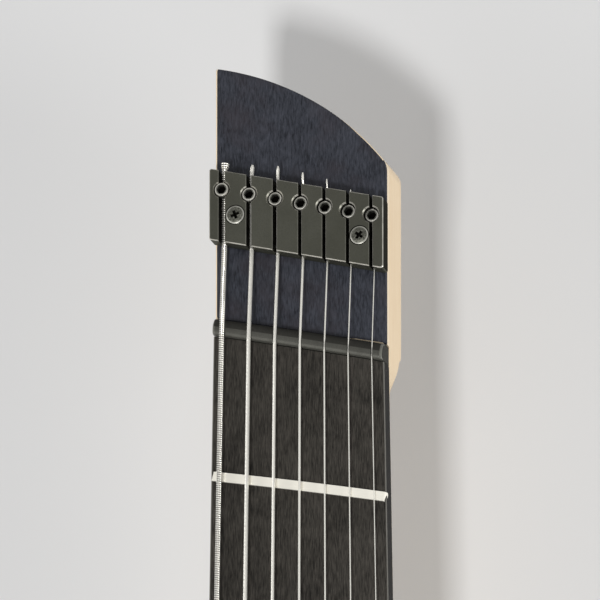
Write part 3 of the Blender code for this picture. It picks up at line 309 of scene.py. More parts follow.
def rounded(corners, radius, steps=6):
    """Outline with each corner turned into an arc."""
    outline = []
    count = len(corners)
    for i, corner in enumerate(corners):
        here = Vector(corner)
        before = (Vector(corners[i - 1]) - here).normalized()
        after = (Vector(corners[(i + 1) % count]) - here).normalized()
        half_angle = before.angle(after) / 2
        reach = radius / math.tan(half_angle)
        centre = here + (before + after).normalized() * (radius / math.sin(half_angle))
        first = here + before * reach - centre
        last = here + after * reach - centre
        sweep = first.angle_signed(last)
        for step in range(steps + 1):
            arm = first.copy()
            arm.rotate(Matrix.Rotation(-sweep * step / steps, 2))
            outline.append(tuple(centre + arm))
    return outline


def eased(begin, corner, end, steps):
    """Soft curve between two points, drawn towards a corner."""
    points = []
    for step in range(steps + 1):
        share = step / steps
        points.append(tuple(begin.lerp(corner, share).lerp(corner.lerp(end, share), share)))
    return points


def turned(profile, sides=32):
    """Solid of revolution about Z, its profile listed outside from top to bottom."""
    shape = bmesh.new()
    made = [shape.verts.new((r, 0.0, z)) for r, z in profile]
    edges = [shape.edges.new(pair) for pair in zip(made, made[1:])]
    bmesh.ops.spin(shape, geom=made + edges, cent=(0, 0, 0), axis=(0, 0, 1),
                   angle=math.tau, steps=sides, use_duplicate=False)
    bmesh.ops.remove_doubles(shape, verts=shape.verts, dist=1e-7)
    bmesh.ops.recalc_face_normals(shape, faces=shape.faces)
    return shape


def moved(shape, spot, turn=0.0, axis="X"):
    """The shape as a mesh, turned about an axis and then set at a place."""
    if turn:
        bmesh.ops.rotate(shape, verts=shape.verts, cent=(0, 0, 0),
                         matrix=Matrix.Rotation(turn, 3, axis))
    bmesh.ops.translate(shape, verts=shape.verts, vec=spot)
    return to_mesh(shape)


def joined(*meshes):
    both = bmesh.new()
    for mesh in meshes:
        both.from_mesh(mesh)
    return to_mesh(both)


def with_rim(shape, top, width, segments=1):
    """Breaks the edges round the top of a plain block."""
    rim = [e for e in shape.edges if all(v.co.z > top - 1e-6 for v in e.verts)]
    bmesh.ops.bevel(shape, geom=rim, offset=width, segments=segments, profile=0.5,
                    affect="EDGES", clamp_overlap=True)
    return to_mesh(shape)


def pit(low, high, floor, top, lip):
    """Cutter for a slot or pocket with a chamfered mouth."""
    return to_mesh(loft([
        [(low[0] - out, low[1] - out, z), (high[0] + out, low[1] - out, z),
         (high[0] + out, high[1] + out, z), (low[0] - out, high[1] + out, z)]
        for z, out in ((floor, 0.0), (top - lip, 0.0), (top + lip, 2 * lip))]))


def mark_edge(mesh, wear_and_painted_light):
    """Writes a mark on each face for the finishes: 1 a worn edge that is also a painted highlight,
    below 0 painted shade in recesses and on walls; the fretboard reads it its own way.
    """
    mark = mesh.attributes.get("edge") or mesh.attributes.new("edge", "FLOAT", "FACE")
    mark.data.foreach_set("value", [float(wear_and_painted_light(face)) for face in mesh.polygons])
    mesh.polygons.foreach_set("material_index", [0] * len(mesh.polygons))
    return mesh


def mark_machined(mesh, top, lip, wall_shade):
    """Marks a milled block: its chamfers near the top are worn and painted as highlights, its
    walls get painted shade.
    """
    def wear_and_painted_light(face):
        if 0.3 < face.normal.z < 0.95 and face.center.z > top - 2 * lip:
            return 1.0
        return 0.0 if face.normal.z >= 0.95 and face.center.z > top - lip else wall_shade
    return mark_edge(mesh, wear_and_painted_light)


def applied(piece, *used):
    """The object's mesh with its modifiers in it. Objects that are used up are removed."""
    graph = bpy.context.evaluated_depsgraph_get()
    mesh = bpy.data.meshes.new_from_object(piece.evaluated_get(graph))
    for thing in used:
        bpy.data.objects.remove(thing)
    return mesh


def worked(mesh, cuts=(), bevel=0.0, segments=2, angle=35):
    """The mesh after its cuts and with its edges broken, which are marked as worn and as painted
    highlights.
    """
    mesh.materials.append(None)
    mesh.materials.append(None)
    base = add_object("blank", mesh)
    tools = [add_object("tool", cut) for cut in cuts]
    for tool in tools:
        settle(base.modifiers.new("cut", "BOOLEAN"), operation="DIFFERENCE", solver="EXACT",
               object=tool)
    if bevel:
        settle(base.modifiers.new("edges", "BEVEL"), width=bevel, segments=segments,
               limit_method="ANGLE", angle_limit=math.radians(angle),
               miter_outer="MITER_ARC", material=1)
    return mark_edge(applied(base, base, *tools), lambda face: face.material_index == 1)


def fit(name, mesh, material, body="root", nodes="", sharp=32):
    """A finished piece: smooth where it is round, riding its body in place of CAD nodes."""
    mesh.shade_smooth()
    mesh.set_sharp_from_angle(angle=math.radians(sharp))
    mesh.materials.clear()
    mesh.materials.append(material)
    piece = add_object(name, mesh)
    even = piece.modifiers.new("even_shading", "WEIGHTED_NORMAL")
    even.keep_sharp = True
    piece.data = applied(piece)
    piece.data.name = name
    piece.modifiers.remove(even)
    if body:
        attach(piece, body)
    if nodes:
        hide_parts(*nodes.split())
    return piece


def fit_copy(name, node, material, body="root", bevel=0.0003, segments=2, angle=40, sharp=32):
    """A piece in the CAD node's own shape, welded, its edges broken."""
    shape = bmesh.new()
    shape.from_mesh(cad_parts[node].data)
    bmesh.ops.remove_doubles(shape, verts=shape.verts, dist=2e-6)
    bmesh.ops.dissolve_limit(shape, angle_limit=math.radians(0.3), verts=shape.verts,
                             edges=shape.edges)
    mesh = worked(to_mesh(shape), (), bevel, segments, angle)
    fit(name, mesh, material, body, node, sharp)


def geometry_group(name, inputs):
    """An empty Geometry Nodes tree with these inputs, between its geometry and its finish."""
    return new_group(name, "GeometryNodeTree", {
        "Geometry": "Geometry", **inputs, "Finish": "Material"}, {"Geometry": "Geometry"})


def closed_group(group, source, result, geometry):
    """The tree, ended with real geometry that has its finish."""
    real = output(group, "GeometryNodeRealizeInstances", {"Geometry": geometry})
    plug(group, result, {0: output(group, "GeometryNodeSetMaterial", {
        "Geometry": real, "Material": source["Finish"]})})
    return group


def captured(group, geometry, kind, fields):
    """Outputs that carry the geometry and, by name, fields kept on its points."""
    kept = add_node(group, "GeometryNodeCaptureAttribute", domain="POINT")
    for name in fields:
        kept.capture_items.new(kind, name)
    return plug(group, kept, {"Geometry": geometry, **fields}).outputs


def swept(group, curve, profile):
    return output(group, "GeometryNodeCurveToMesh", {
        "Curve": curve, "Profile Curve": profile, "Fill Caps": True})


def shifted(group, geometry, offset):
    return output(group, "GeometryNodeSetPosition", {"Geometry": geometry, "Offset": offset})


def as_curve(group, geometry):
    return output(group, "GeometryNodeMeshToCurve", {"Mesh": geometry})


def grown(group, guide, values, used=()):
    """The plain mesh that a tree grows on a guide mesh, its inputs set by their names."""
    carrier = add_object("guide", guide)
    step = carrier.modifiers.new(group.name, "NODES")
    step.node_group = group
    for item in group.interface.items_tree:
        if item.in_out == "INPUT" and item.name in values:
            step[item.identifier] = values[item.name]
    return applied(carrier, carrier, *used)


def repeat_group():
    """One part set on each point of a guide, turned the same way."""
    group, source, result = geometry_group("repeated_part", {"Part": "Object", "Turn": "Vector"})
    placed = output(group, "GeometryNodeInstanceOnPoints", {
        "Points": output(group, "GeometryNodeMeshToPoints", {"Mesh": source["Geometry"]}),
        "Instance": output(group, "GeometryNodeObjectInfo", {"Object": source["Part"]},
                           "Geometry"),
        "Rotation": output(group, "FunctionNodeEulerToRotation", {"Euler": source["Turn"]})})
    return closed_group(group, source, result, placed)


repeated_part = repeat_group()


def fit_set(name, part_mesh, places, material, body="root", turn=(0.0, 0.0, 0.0)):
    """A piece made of copies of one part at these places."""
    part = add_object("part", part_mesh)
    mesh = grown(repeated_part, points_mesh(places),
                 {"Part": part, "Turn": turn, "Finish": material}, (part,))
    fit(name, mesh, material, body)


# Neck: maple under a thin clear satin finish, left natural, with the headstock block and
# the heel in one piece. Its grain runs along the neck.
finish_outputs = {"Color": "Color", "Roughness": "Float", "Height": "Float"}


def wood_group():
    """Long fibres with a broad figure: gives colour, roughness and height."""
    group, source, result = new_group("wood_grain", "ShaderNodeTree", {
        "Vector": "Vector", "Light": (1, 1, 1, 1), "Dark": (0, 0, 0, 1), "Fibre": 0.001,
        "Fibre length": 0.03, "Fibre share": 0.6, "Figure": 0.02, "Figure share": 0.4,
        "Roughness": 0.4}, finish_outputs)
    thin = calc(group, "DIVIDE", 1.0, source["Fibre"])
    long = calc(group, "DIVIDE", 1.0, source["Fibre length"])
    wide = calc(group, "DIVIDE", 1.0, source["Figure"])
    stretch = output(group, "ShaderNodeCombineXYZ", {"X": thin, "Y": long, "Z": thin})
    fibres_at = output(group, "ShaderNodeVectorMath", {0: source["Vector"], 1: stretch},
                       operation="MULTIPLY")
    fibres = noise(group, fibres_at, 1.0, 5.0, 0.68, 0.25)
    bands = noise(group, scaled(group, source["Vector"], wide), 1.0, 3.0, 0.5, 1.2)
    figure = calc(group, "MULTIPLY_ADD", calc(group, "SUBTRACT", bands, 0.5),
                  source["Figure share"], 0.5)
    share = calc(group, "MULTIPLY_ADD", calc(group, "SUBTRACT", fibres, 0.5),
                 source["Fibre share"], figure, clamp=True)
    even = calc(group, "SUBTRACT", source["Roughness"], 0.08)
    plug(group, result, {
        "Color": mixed(group, share, source["Dark"], source["Light"]),
        "Roughness": calc(group, "MULTIPLY_ADD", fibres, 0.16, even), "Height": fibres})
    return group


wood_grain = wood_group()


def wood_material(name, light, dark, fibre, fibre_share, figure, figure_share, roughness,
                  depth=0.00003, fibre_length=0.03):
    """Wood in two tones; its pores give the bump that lies under the finish."""
    material, tree, shader, place = new_material(name)
    grain = add_node(tree, "ShaderNodeGroup", {
        "Vector": place, "Light": light, "Dark": dark, "Fibre": fibre,
        "Fibre length": fibre_length, "Fibre share": fibre_share, "Figure": figure,
        "Figure share": figure_share, "Roughness": roughness}, node_tree=wood_grain).outputs
    bump = output(tree, "ShaderNodeBump", {
        "Height": grain["Height"], "Strength": 0.5, "Distance": depth})
    plug(tree, shader, {"Base Color": grain["Color"], "Roughness": grain["Roughness"],
                        "Normal": bump})
    return material, tree, shader, place, grain["Color"]


clear_satin = {"Coat Weight": 0.25, "Coat Roughness": 0.25}
maple, tree, shader, _, _ = wood_material(
    "natural_maple", (0.93, 0.76, 0.52), (0.80, 0.58, 0.34), 0.0011, 1.1,
    0.035, 0.5, 0.42)
plug(tree, shader, clear_satin)

head_width = 0.0464
head_reach_bass = 0.0743
head_reach_treble = 0.0550
head_tip_radius = 0.0782
bass_corner = 0.0009
treble_corner = 0.0022
heel_end = 0.157
heel_length = 0.058
heel_blend = 0.045
head_blend = 0.018
depth_at_first = 0.0145
depth_at_twelfth = 0.0165
heel_depth = 0.0194
head_depth = 0.0124


def smooth_step(share):
    share = min(max(share, 0.0), 1.0)
    return share * share * (3.0 - 2.0 * share)


def neck_ring(y, sides=40):
    """Cross-section of the neck, round along the shaft and square at heel and headstock."""
    twelfth = fan_y(fret_share(12), 0.0)
    first = fan_y(fret_share(1), 0.0)
    growth = (depth_at_first - depth_at_twelfth) / (first - twelfth)
    depth = depth_at_twelfth + growth * (y - twelfth)
    heel = smooth_step((heel_end + heel_length + heel_blend - y) / heel_blend)
    head = smooth_step(max((y - (nut_line - head_blend)) / head_blend, 0.0) ** 2)
    depth += (heel_depth - depth) * heel + (head_depth - depth) * head
    square = 2.4 + 11.6 * max(heel ** 2, head) + 26.0 * head ** 4
    block = max(heel, head ** 0.25)
    tuck = math.radians(26.0) * (1.0 - block)
    widest = math.cos(tuck) ** (2 / square)
    edge = math.sin(tuck) ** (2 / square)
    half = neck_half(y)
    half += (head_width - nut_width) / 2 * smooth_step((y - nut_line + 0.004) / 0.008)
    lip = 0.00003 + 0.00027 * block
    ring = [(-half, y, board_under), (-half, y, board_under - lip)]
    for step in range(1, sides):
        angle = tuck + (math.pi - 2 * tuck) * step / sides
        across = abs(math.cos(angle)) ** (2 / square) * math.copysign(1.0, -math.cos(angle))
        down = (math.sin(angle) ** (2 / square) - edge) / (1.0 - edge)
        ring.append((half * across / widest, y, board_under - lip - depth * down))
    return ring + [(half, y, board_under - lip), (half, y, board_under)]


def head_outline(start, steps=48):
    """Plan of the headstock, from a line behind the nut to the curved tip."""
    half = head_width / 2
    bass = Vector((-half, fan_y(1.0, -half) + head_reach_bass))
    treble = Vector((half, fan_y(1.0, half) + head_reach_treble))
    chord = treble - bass
    rise = math.sqrt(head_tip_radius ** 2 - (chord.length / 2) ** 2)
    centre = bass.lerp(treble, 0.5) + Vector((chord.y, -chord.x)).normalized() * rise
    first = math.atan2(bass.y - centre.y, bass.x - centre.x)
    last = math.atan2(treble.y - centre.y, treble.x - centre.x)
    way = math.copysign(1.0, last - first)
    first += way * bass_corner / head_tip_radius
    last -= way * treble_corner / head_tip_radius
    angles = [first + (last - first) * step / steps for step in range(steps + 1)]
    arc = [(centre.x + head_tip_radius * math.cos(angle),
            centre.y + head_tip_radius * math.sin(angle)) for angle in angles]
    bass_start = bass - Vector((0.0, bass_corner))
    treble_end = treble - Vector((0.0, treble_corner))
    return ([(half, fan_y(1.0, half) + start), (-half, fan_y(1.0, -half) + start)]
            + eased(bass_start, bass, Vector(arc[0]), 5)[:-1] + arc
            + eased(Vector(arc[-1]), treble, treble_end, 8)[1:])


blend_start = heel_end + heel_length
head_start = nut_line - head_blend
shaft_start = blend_start + heel_blend
stations = [heel_end]
stations += [blend_start + heel_blend * i / 16 for i in range(17)]
stations += [shaft_start + (head_start - shaft_start) * i / 24 for i in range(1, 24)]
stations += [head_start + head_blend * i / 24 for i in range(25)]
stations += [nut_line + past for past in (0.001, 0.002, 0.004, 0.13)]
tip = head_outline(0.0)[2:]
beyond = [(0.05, tip[-1][1] - 0.0003), (0.05, 0.9), (-0.05, 0.9), (-0.05, tip[0][1])]
blank = worked(to_mesh(loft([neck_ring(y) for y in stations])),
               [to_mesh(prism(tip + beyond, 0.0, 0.1))])
shape = bmesh.new()
shape.from_mesh(blank)
corners = [edge for edge in shape.edges
           if len(edge.link_faces) == 2 and edge.calc_face_angle() > math.radians(50)
           and all(v.co.z < board_under - 0.001 for v in edge.verts)]
bmesh.ops.bevel(shape, geom=corners, offset=0.0010, segments=3, profile=0.6, affect="EDGES",
                clamp_overlap=True)
fit("neck_wood", to_mesh(shape), maple, nodes="neck truss_rod")


# Headstock facing: figured maple glued on the block, stained blue-black on its face under
# a satin finish. Its side is left natural, and so is most of the rounded edge between them.
stain_light = (0.047, 0.051, 0.066)
stain_dark = (0.0025, 0.0036, 0.0075)
stain_warm = (0.032, 0.026, 0.032)
face_z = 0.0505
stain, tree, shader, place, grain = wood_material(
    "stained_face", stain_light, stain_dark, 0.00040, 2.6, 0.009, 0.8, 0.42,
    0.00004, 0.0022)
warm = ranged(tree, noise(tree, place, 95.0, 3.0), 0.48, 0.72, 0.0, 0.55)
stained = mixed(tree, warm, grain, stain_warm)
side_grain = output(tree, "ShaderNodeGroup", {
    "Vector": place, "Light": (0.95, 0.82, 0.62), "Dark": (0.84, 0.65, 0.43), "Fibre": 0.0011,
    "Fibre share": 1.1, "Figure": 0.035, "Figure share": 0.5}, "Color", node_tree=wood_grain)
spot = add_node(tree, "ShaderNodeSeparateXYZ", {0: place}).outputs
bass_edge = ranged(tree, spot["X"], -0.0226, -0.0222, 0.00001, 0.0009)
to_treble = ranged(tree, spot["X"], 0.0, 0.015, 0.0009, 0.00006)
treble_edge = ranged(tree, spot["X"], 0.0221, 0.0225, 0.0, 0.00050)
depth = calc(tree, "MAXIMUM", calc(tree, "MINIMUM", bass_edge, to_treble), treble_edge)
on_face = calc(tree, "LESS_THAN", calc(tree, "SUBTRACT", face_z, spot["Z"]), depth)
plug(tree, shader, {"Base Color": mixed(tree, on_face, side_grain, stained),
                    "Specular IOR Level": 0.35})
cap = with_rim(prism(head_outline(0.0053), board_under, face_z), face_z, 0.0006, 4)
fit("headstock_facing", cap, stain, nodes="headstock_cap")


# Fretboard: one plank of dark, open-pored wood with a round top, glued on the neck, with
# white dots for the player let into its bass side.
board_wood, tree, shader, _, grain = wood_material(
    "dark_fretboard", (0.062, 0.056, 0.048), (0.0105, 0.0095, 0.0080),
    0.00030, 2.8, 0.012, 1.0, 0.62, 0.00006, 0.0032)
# Painted light: the plank's sides (mark 1) are painted near black as shade, and its small rounded
# edges (mark -1) pale as a highlight.
edge = output(tree, "ShaderNodeAttribute", pick="Fac", attribute_name="edge")
painted_shade_sides = mixed(tree, edge, grain, (0.010, 0.0095, 0.009))
painted_edge_highlight = mixed(tree, calc(tree, "MULTIPLY", edge, -1.0, clamp=True), painted_shade_sides, (0.15, 0.145, 0.13))
plug(tree, shader, {"Base Color": painted_edge_highlight, "Specular IOR Level": 0.12})
edge_round = 0.0003
board_rings = []
for share, shift in ((1.0, -0.0003), (fret_share(last_fret), -0.0145)):
    bass = board_edge(share, -1, shift)
    treble = board_edge(share, 1, shift)
    length = (treble - bass).length
    ring = []
    for step in range(33):
        along = edge_round / length + (1 - 2 * edge_round / length) * step / 32
        spot = bass.lerp(treble, along)
        ring.append((spot.x, spot.y, board_z - camber(spot.x)))
    for spot, way in ((treble, 1), (bass, -1)):
        crest = board_z - camber(spot.x)
        heights = (crest - 0.45 * edge_round, crest - 1.6 * edge_round, board_under)
        ring += [(spot.x, spot.y, z) for z in heights[::way]]
    board_rings.append(ring)
# Mark 1 on the sides for painted shade, -1 on the rounded edges for a painted highlight.
plank = mark_edge(to_mesh(loft(board_rings)), lambda face: (
    1.0 if abs(face.normal.x) > 0.9 else -1.0 if abs(face.normal.x) > 0.3 else 0.0))
fit("fretboard_plank", plank, board_wood, nodes="fretboard", sharp=60)

dot_white, tree, shader, place = new_material("dot_white")
tone = ranged(tree, noise(tree, place, 900.0), start=0.62, end=0.84)
plug(tree, shader, {"Base Color": tone, "Roughness": 0.3})
dot_places = []
for number in (3, 5, 7, 9, 12, 15, 17, 19, 21, 24):
    low = board_edge(fret_share(number), -1)
    high = board_edge(fret_share(number - 1), -1)
    for shift in ((-0.003, 0.003) if number % 12 == 0 else (0.0,)):
        spot = low.lerp(high, 0.5)
        dot_places.append((spot.x + 0.0004, spot.y + shift, board_z - 0.0031))
dot = turned([(0.0, 0.00045), (0.0009, 0.00045), (0.0010, 0.00035), (0.0010, 0.0), (0.0, 0.0)], 20)
fit_set("side_dots", to_mesh(dot), dot_places, dot_white, turn=(0.0, -math.pi / 2, 0.0))


# Frets: nickel-silver wire pressed across the board on the fan's lines, crowned round and
# filed to a bevel at both ends.
def steel_material(name, colour, roughness, streak=(1.0, 1.0, 1.0), amount=0.12, metallic=1.0):
    """Bare metal with fine rubbing marks, painted dark as shade where the shade mark is set."""
    material, tree, shader, place = new_material(name)
    stretch = output(tree, "ShaderNodeMapping", {"Vector": place, "Scale": streak})
    marks = noise(tree, stretch, 2600.0, 3.0, 0.6)
    tone = mixed(tree, marks, [c * (1.0 - amount) for c in colour],
                 [min(c * (1.0 + amount), 1.0) for c in colour])
    # Painted shade: this mark darkens the sides of the frets and the grooves between a wound
    # string's turns.
    groove = output(tree, "ShaderNodeAttribute", pick="Fac", attribute_name="groove")
    plug(tree, shader, {
        "Base Color": mixed(tree, groove, tone, [c * 0.05 for c in colour]),
        "Roughness": ranged(tree, marks, start=max(roughness - amount, 0.04),
                            end=roughness + amount),
        "Metallic": metallic})
    return material


fret_metal = steel_material("fret_wire", (1.0, 0.95, 0.85), 0.24, (0.1, 1.0, 1.0), 0.03, 0.35)


def fret_group():
    """Fret wire along each line of a guide, on the board's round top, its ends bevelled."""
    group, source, result = geometry_group("fret_wire", {
        "Crown shape": "Object", "Width": 0.0025, "Height": 0.0011, "Crown": 0.05,
        "Radius": 0.4, "Bevel": 0.65})
    ends = [output(group, "GeometryNodeCurveEndpointSelection", {
        "Start Size": first, "End Size": last}) for first, last in ((0, 1), (1, 0))]
    way = scaled(group, output(group, "GeometryNodeInputTangent"),
                 calc(group, "SUBTRACT", *ends))
    kept = captured(group, as_curve(group, source["Geometry"]), "VECTOR", {"Way": way})
    upright = output(group, "GeometryNodeSetCurveNormal", {"Curve": kept["Geometry"]},
                     mode="Z_UP")
    crown = output(group, "GeometryNodeObjectInfo", {"Object": source["Crown shape"]},
                   "Geometry")
    size = output(group, "ShaderNodeCombineXYZ", {
        "X": source["Width"], "Y": source["Height"], "Z": 1.0})
    section = output(group, "GeometryNodeTransform", {
        "Geometry": as_curve(group, crown), "Scale": size})
    here = add_node(group, "ShaderNodeSeparateXYZ", {
        0: output(group, "GeometryNodeInputPosition")}).outputs
    raised = calc(group, "MAXIMUM", calc(group, "SUBTRACT", here["Z"], source["Crown"]), 0.0)
    pull = calc(group, "MULTIPLY", calc(group, "MULTIPLY", raised, source["Bevel"]), -1.0)
    bevelled = shifted(group, swept(group, upright, section), scaled(group, kept["Way"], pull))
    span = calc(group, "SUBTRACT", calc(group, "MULTIPLY", source["Radius"], source["Radius"]),
                calc(group, "MULTIPLY", here["X"], here["X"]))
    drop = calc(group, "SUBTRACT", calc(group, "SQRT", span), source["Radius"])
    seated = shifted(group, bevelled, output(group, "ShaderNodeCombineXYZ", {"Z": drop}))
    outward = output(group, "GeometryNodeFlipFaces", {"Mesh": seated})
    smooth = output(group, "GeometryNodeSetShadeSmooth", {0: outward})
    return closed_group(group, source, result, smooth)


corners, lines = [], []
across = 24
for number in range(1, last_fret + 1):
    bass = board_edge(fret_share(number), -1)
    treble = board_edge(fret_share(number), 1)
    for step in range(across + 1):
        spot = bass.lerp(treble, step / across)
        corners.append((spot.x, spot.y, board_z))
        if step:
            lines.append((len(corners) - 2, len(corners) - 1))
guide = bpy.data.meshes.new("fret_lines")
guide.from_pydata(corners, lines, [])
crown = [(-0.5, -0.5), (-0.5, 0.18), (-0.46, 0.42), (-0.38, 0.67), (-0.27, 0.86), (-0.14, 0.97)]
crown += [(0.0, 1.0)] + [(-x, up) for x, up in reversed(crown)]
crown_shape = add_object("crown_shape", points_mesh([(x, up, 0.0) for x, up in crown], True))
fret_mesh = grown(fret_group(), guide, {
    "Crown shape": crown_shape, "Width": 0.0025, "Height": 0.0011, "Crown": board_z,
    "Radius": board_radius, "Bevel": 1.0, "Finish": fret_metal}, (crown_shape,))
# Painted shade on the frets: the side facing the headstock is painted darkest, the slope above it
# less, and the side facing the bridge a little.
painted_fret_shade = fret_mesh.attributes.new("groove", "FLOAT", "FACE")
for face, painted_shade in zip(fret_mesh.polygons, painted_fret_shade.data):
    lean = face.normal.y
    painted_shade.value = 0.85 if lean > 0.85 else 0.65 if lean > 0.5 else 0.35 if lean < -0.85 else 0.0
fit("frets", fret_mesh, fret_metal, sharp=40)


# Nut: black, slotted for each string. Its front edge is rounded, it falls away towards the
# headstock, and its ends are rounded over to the fretboard's sides.
def fine_group():
    """Fine speckle and soft smudges on paint, plastic and blackened metal."""
    group, source, result = new_group("fine_surface", "ShaderNodeTree", {
        "Vector": "Vector", "Colour": (0, 0, 0, 1), "Worn": (0.1, 0.1, 0.1, 1),
        "Speck": 3000.0, "Smudge": 60.0, "Roughness": 0.4, "Spread": 0.15}, finish_outputs)
    speck = noise(group, source["Vector"], source["Speck"])
    smudge = noise(group, source["Vector"], source["Smudge"], 4.0, 0.6)
    share = ranged(group, calc(group, "MULTIPLY", speck, smudge), 0.12, 0.42)
    plug(group, result, {
        "Color": mixed(group, share, source["Colour"], source["Worn"]),
        "Roughness": calc(group, "MULTIPLY_ADD", calc(group, "SUBTRACT", smudge, 0.5),
                          source["Spread"], source["Roughness"]),
        "Height": speck})
    return group


def edge_wear_and_painted_light_group():
    """Worn edges with a painted highlight: where the mask is above 0 the finish goes over to the
    worn, lit one; below 0 it is painted dark as shade.
    """
    group, source, result = new_group("edge_wear_and_painted_light", "ShaderNodeTree", {
        "Color": "Color", "Roughness": "Float", "Edge": "Float", "Vector": "Vector",
        "Worn and highlight color": "Color", "Worn roughness": "Float"},
        {"Color": "Color", "Roughness": "Float"})
    rub = ranged(group, noise(group, source["Vector"], 420.0, 3.0), 0.3, 0.6, 0.55)
    share = calc(group, "MULTIPLY", rub, source["Edge"], clamp=True)
    # Painted shade: faces marked below 0, in recesses and on walls, go near black and matt.
    recess_shade = calc(group, "MULTIPLY", source["Edge"], -1.0, clamp=True)
    kept = mixed(group, recess_shade, source["Color"], (0.006, 0.005, 0.004))
    dull = output(group, "ShaderNodeMix", {0: recess_shade, 2: source["Roughness"], 3: 1.0})
    plug(group, result, {
        "Color": mixed(group, share, kept, source["Worn and highlight color"]),
        "Roughness": output(group, "ShaderNodeMix", {
            0: share, 2: dull, 3: source["Worn roughness"]})})
    return group


fine_surface = fine_group()
edge_wear_and_painted_light = edge_wear_and_painted_light_group()


def fine_material(name, colour, worn, roughness, metallic=0.0, speck=3000.0,
                  depth=0.00001, smudge=60.0, rubbed_highlight=(0.10, 0.10, 0.09), rubbed_roughness=0.3):
    """Even dark finish with fine speckle and smudges; its edges are worn and painted lighter as a
    highlight, its marked recesses painted dark as shade.
    """
    material, tree, shader, place = new_material(name)
    fine = add_node(tree, "ShaderNodeGroup", {
        "Vector": place, "Colour": colour, "Worn": worn, "Speck": speck, "Smudge": smudge,
        "Roughness": roughness}, node_tree=fine_surface).outputs
    edge = output(tree, "ShaderNodeAttribute", pick="Fac", attribute_name="edge")
    wear_and_painted_light = add_node(tree, "ShaderNodeGroup", {
        "Color": fine["Color"], "Roughness": fine["Roughness"], "Edge": edge, "Vector": place,
        "Worn and highlight color": rubbed_highlight, "Worn roughness": rubbed_roughness}, node_tree=edge_wear_and_painted_light).outputs
    bump = output(tree, "ShaderNodeBump", {
        "Height": fine["Height"], "Strength": 0.4, "Distance": depth})
    plug(tree, shader, {
        "Base Color": wear_and_painted_light["Color"], "Roughness": wear_and_painted_light["Roughness"], "Normal": bump,
        "Metallic": metallic, "Specular Tint": (0.35, 0.35, 0.33)})
    return material


nut_black = fine_material("nut_black", (0.046, 0.045, 0.039),
                          (0.082, 0.080, 0.070), 0.34, rubbed_highlight=(0.19, 0.19, 0.165))
nut_thick = 0.0050
nut_fall = 0.0015
nut_action = 0.0015
clamp_z = 0.0508
clamp_floor_z = clamp_z + 0.0006
string_bed = 0.0003
clamp_behind_nut = 0.0195
clamp_slant = 0.253


def clamp_y(x, from_front=0.0):
    """Y of a line on the headpiece, parallel to its front edge."""
    return nut_line + nut_thick + 0.0006 + clamp_behind_nut - clamp_slant * x + from_front


nut_end_round = 0.0009
nut_rings = []
nut_ends = [0.959, 0.970, 0.981, 0.989, 0.995, 0.999, 1.0]
nut_steps = [-share for share in reversed(nut_ends)] + [i / 12 for i in range(-11, 12)] + nut_ends
for share in nut_steps:
    x = share * nut_width / 2
    front = fan_y(1.0, x)
    past = max(abs(x) - (nut_width / 2 - nut_end_round), 0.0) / nut_end_round
    drop = nut_end_round * (1.0 - math.sqrt(max(1.0 - past * past, 0.0)))
    top = board_z - camber(x) + nut_action + 0.0004 - drop
    section = [(0.0, board_under), (0.0, top - 0.0007), (0.0001, top - 0.0004),
               (0.0003, top - 0.00018), (0.0007, top), (0.0013, top - 0.00002),
               (0.0021, top - 0.00018), (0.0029, top - 0.0005), (0.0036, top - 0.0010),
               (0.0042, top - nut_fall), (0.0047, top - nut_fall - 0.0008),
               (nut_thick, top - nut_fall - 0.0018), (nut_thick, board_under)]
    nut_rings.append([(x, front + along, up) for along, up in section])
nut_slots = []
for x, gauge in zip(nut_x, gauges):
    high = board_z - camber(x) + nut_action
    fall = (high - clamp_floor_z - string_bed) / (clamp_y(x) - fan_y(1.0, x))
    side = gauge / 2 + 0.0001
    slot = []
    for along in (-nut_thick, 2 * nut_thick):
        z = high - fall * along - 0.00015
        y = fan_y(1.0, x) + along
        slot.append([(x - side, y, z), (x + side, y, z), (x + side, y, z + 0.006),
                     (x - side, y, z + 0.006)])
    nut_slots.append(to_mesh(loft(slot)))
# Painted light on the nut: its end faces, slot walls and the back falling towards the headstock
# are painted dark as shade; the front is painted lighter, the rounded ends bright as highlights,
# the top a little lighter.
nut_shape = mark_edge(worked(to_mesh(loft(nut_rings)), nut_slots), lambda face: (
    -0.6 if abs(face.normal.x) > 0.9 else 0.7 if abs(face.normal.x) > 0.35 else
    0.3 if face.normal.y < -0.3 else -0.55 if face.normal.y > 0.2 else 0.12))
fit("nut_piece", nut_shape, nut_black, nodes="nut", sharp=45)


# Headpiece: a milled block of blackened metal screwed on the facing. A slot takes each
# string, and a threaded bore with a chamfered mouth crosses it near the back.
# Blackened metal: its marked edges take a bright colour that is worn metal and painted highlight
# at once.
black_metal = fine_material(
    "black_metal", (0.076, 0.076, 0.060), (0.108, 0.108, 0.088), 0.40, 0.7,
    5200.0, 0.000012, rubbed_highlight=(0.56, 0.54, 0.48))
clamp_top = 0.0555
clamp_half = 0.0471 / 2
clamp_length = 0.0196
clamp_lip = 0.00024
bore_from_front = 0.0143
bore_radius = 0.00205
chamfer = 0.0004
mouth = bore_radius + chamfer
screw_from_front = 0.0080
screw_head_radius = 0.00245
sink_radius = screw_head_radius + 0.00025
sink_shaft = 0.0016
block = prism(rounded(
    [(side * clamp_half, clamp_y(side * clamp_half, back))
     for side, back in ((-1, 0.0), (1, 0.0), (1, clamp_length), (-1, clamp_length))],
    0.0006), clamp_z, clamp_top)
clamp_cuts = []
clamp_height = clamp_top - clamp_floor_z
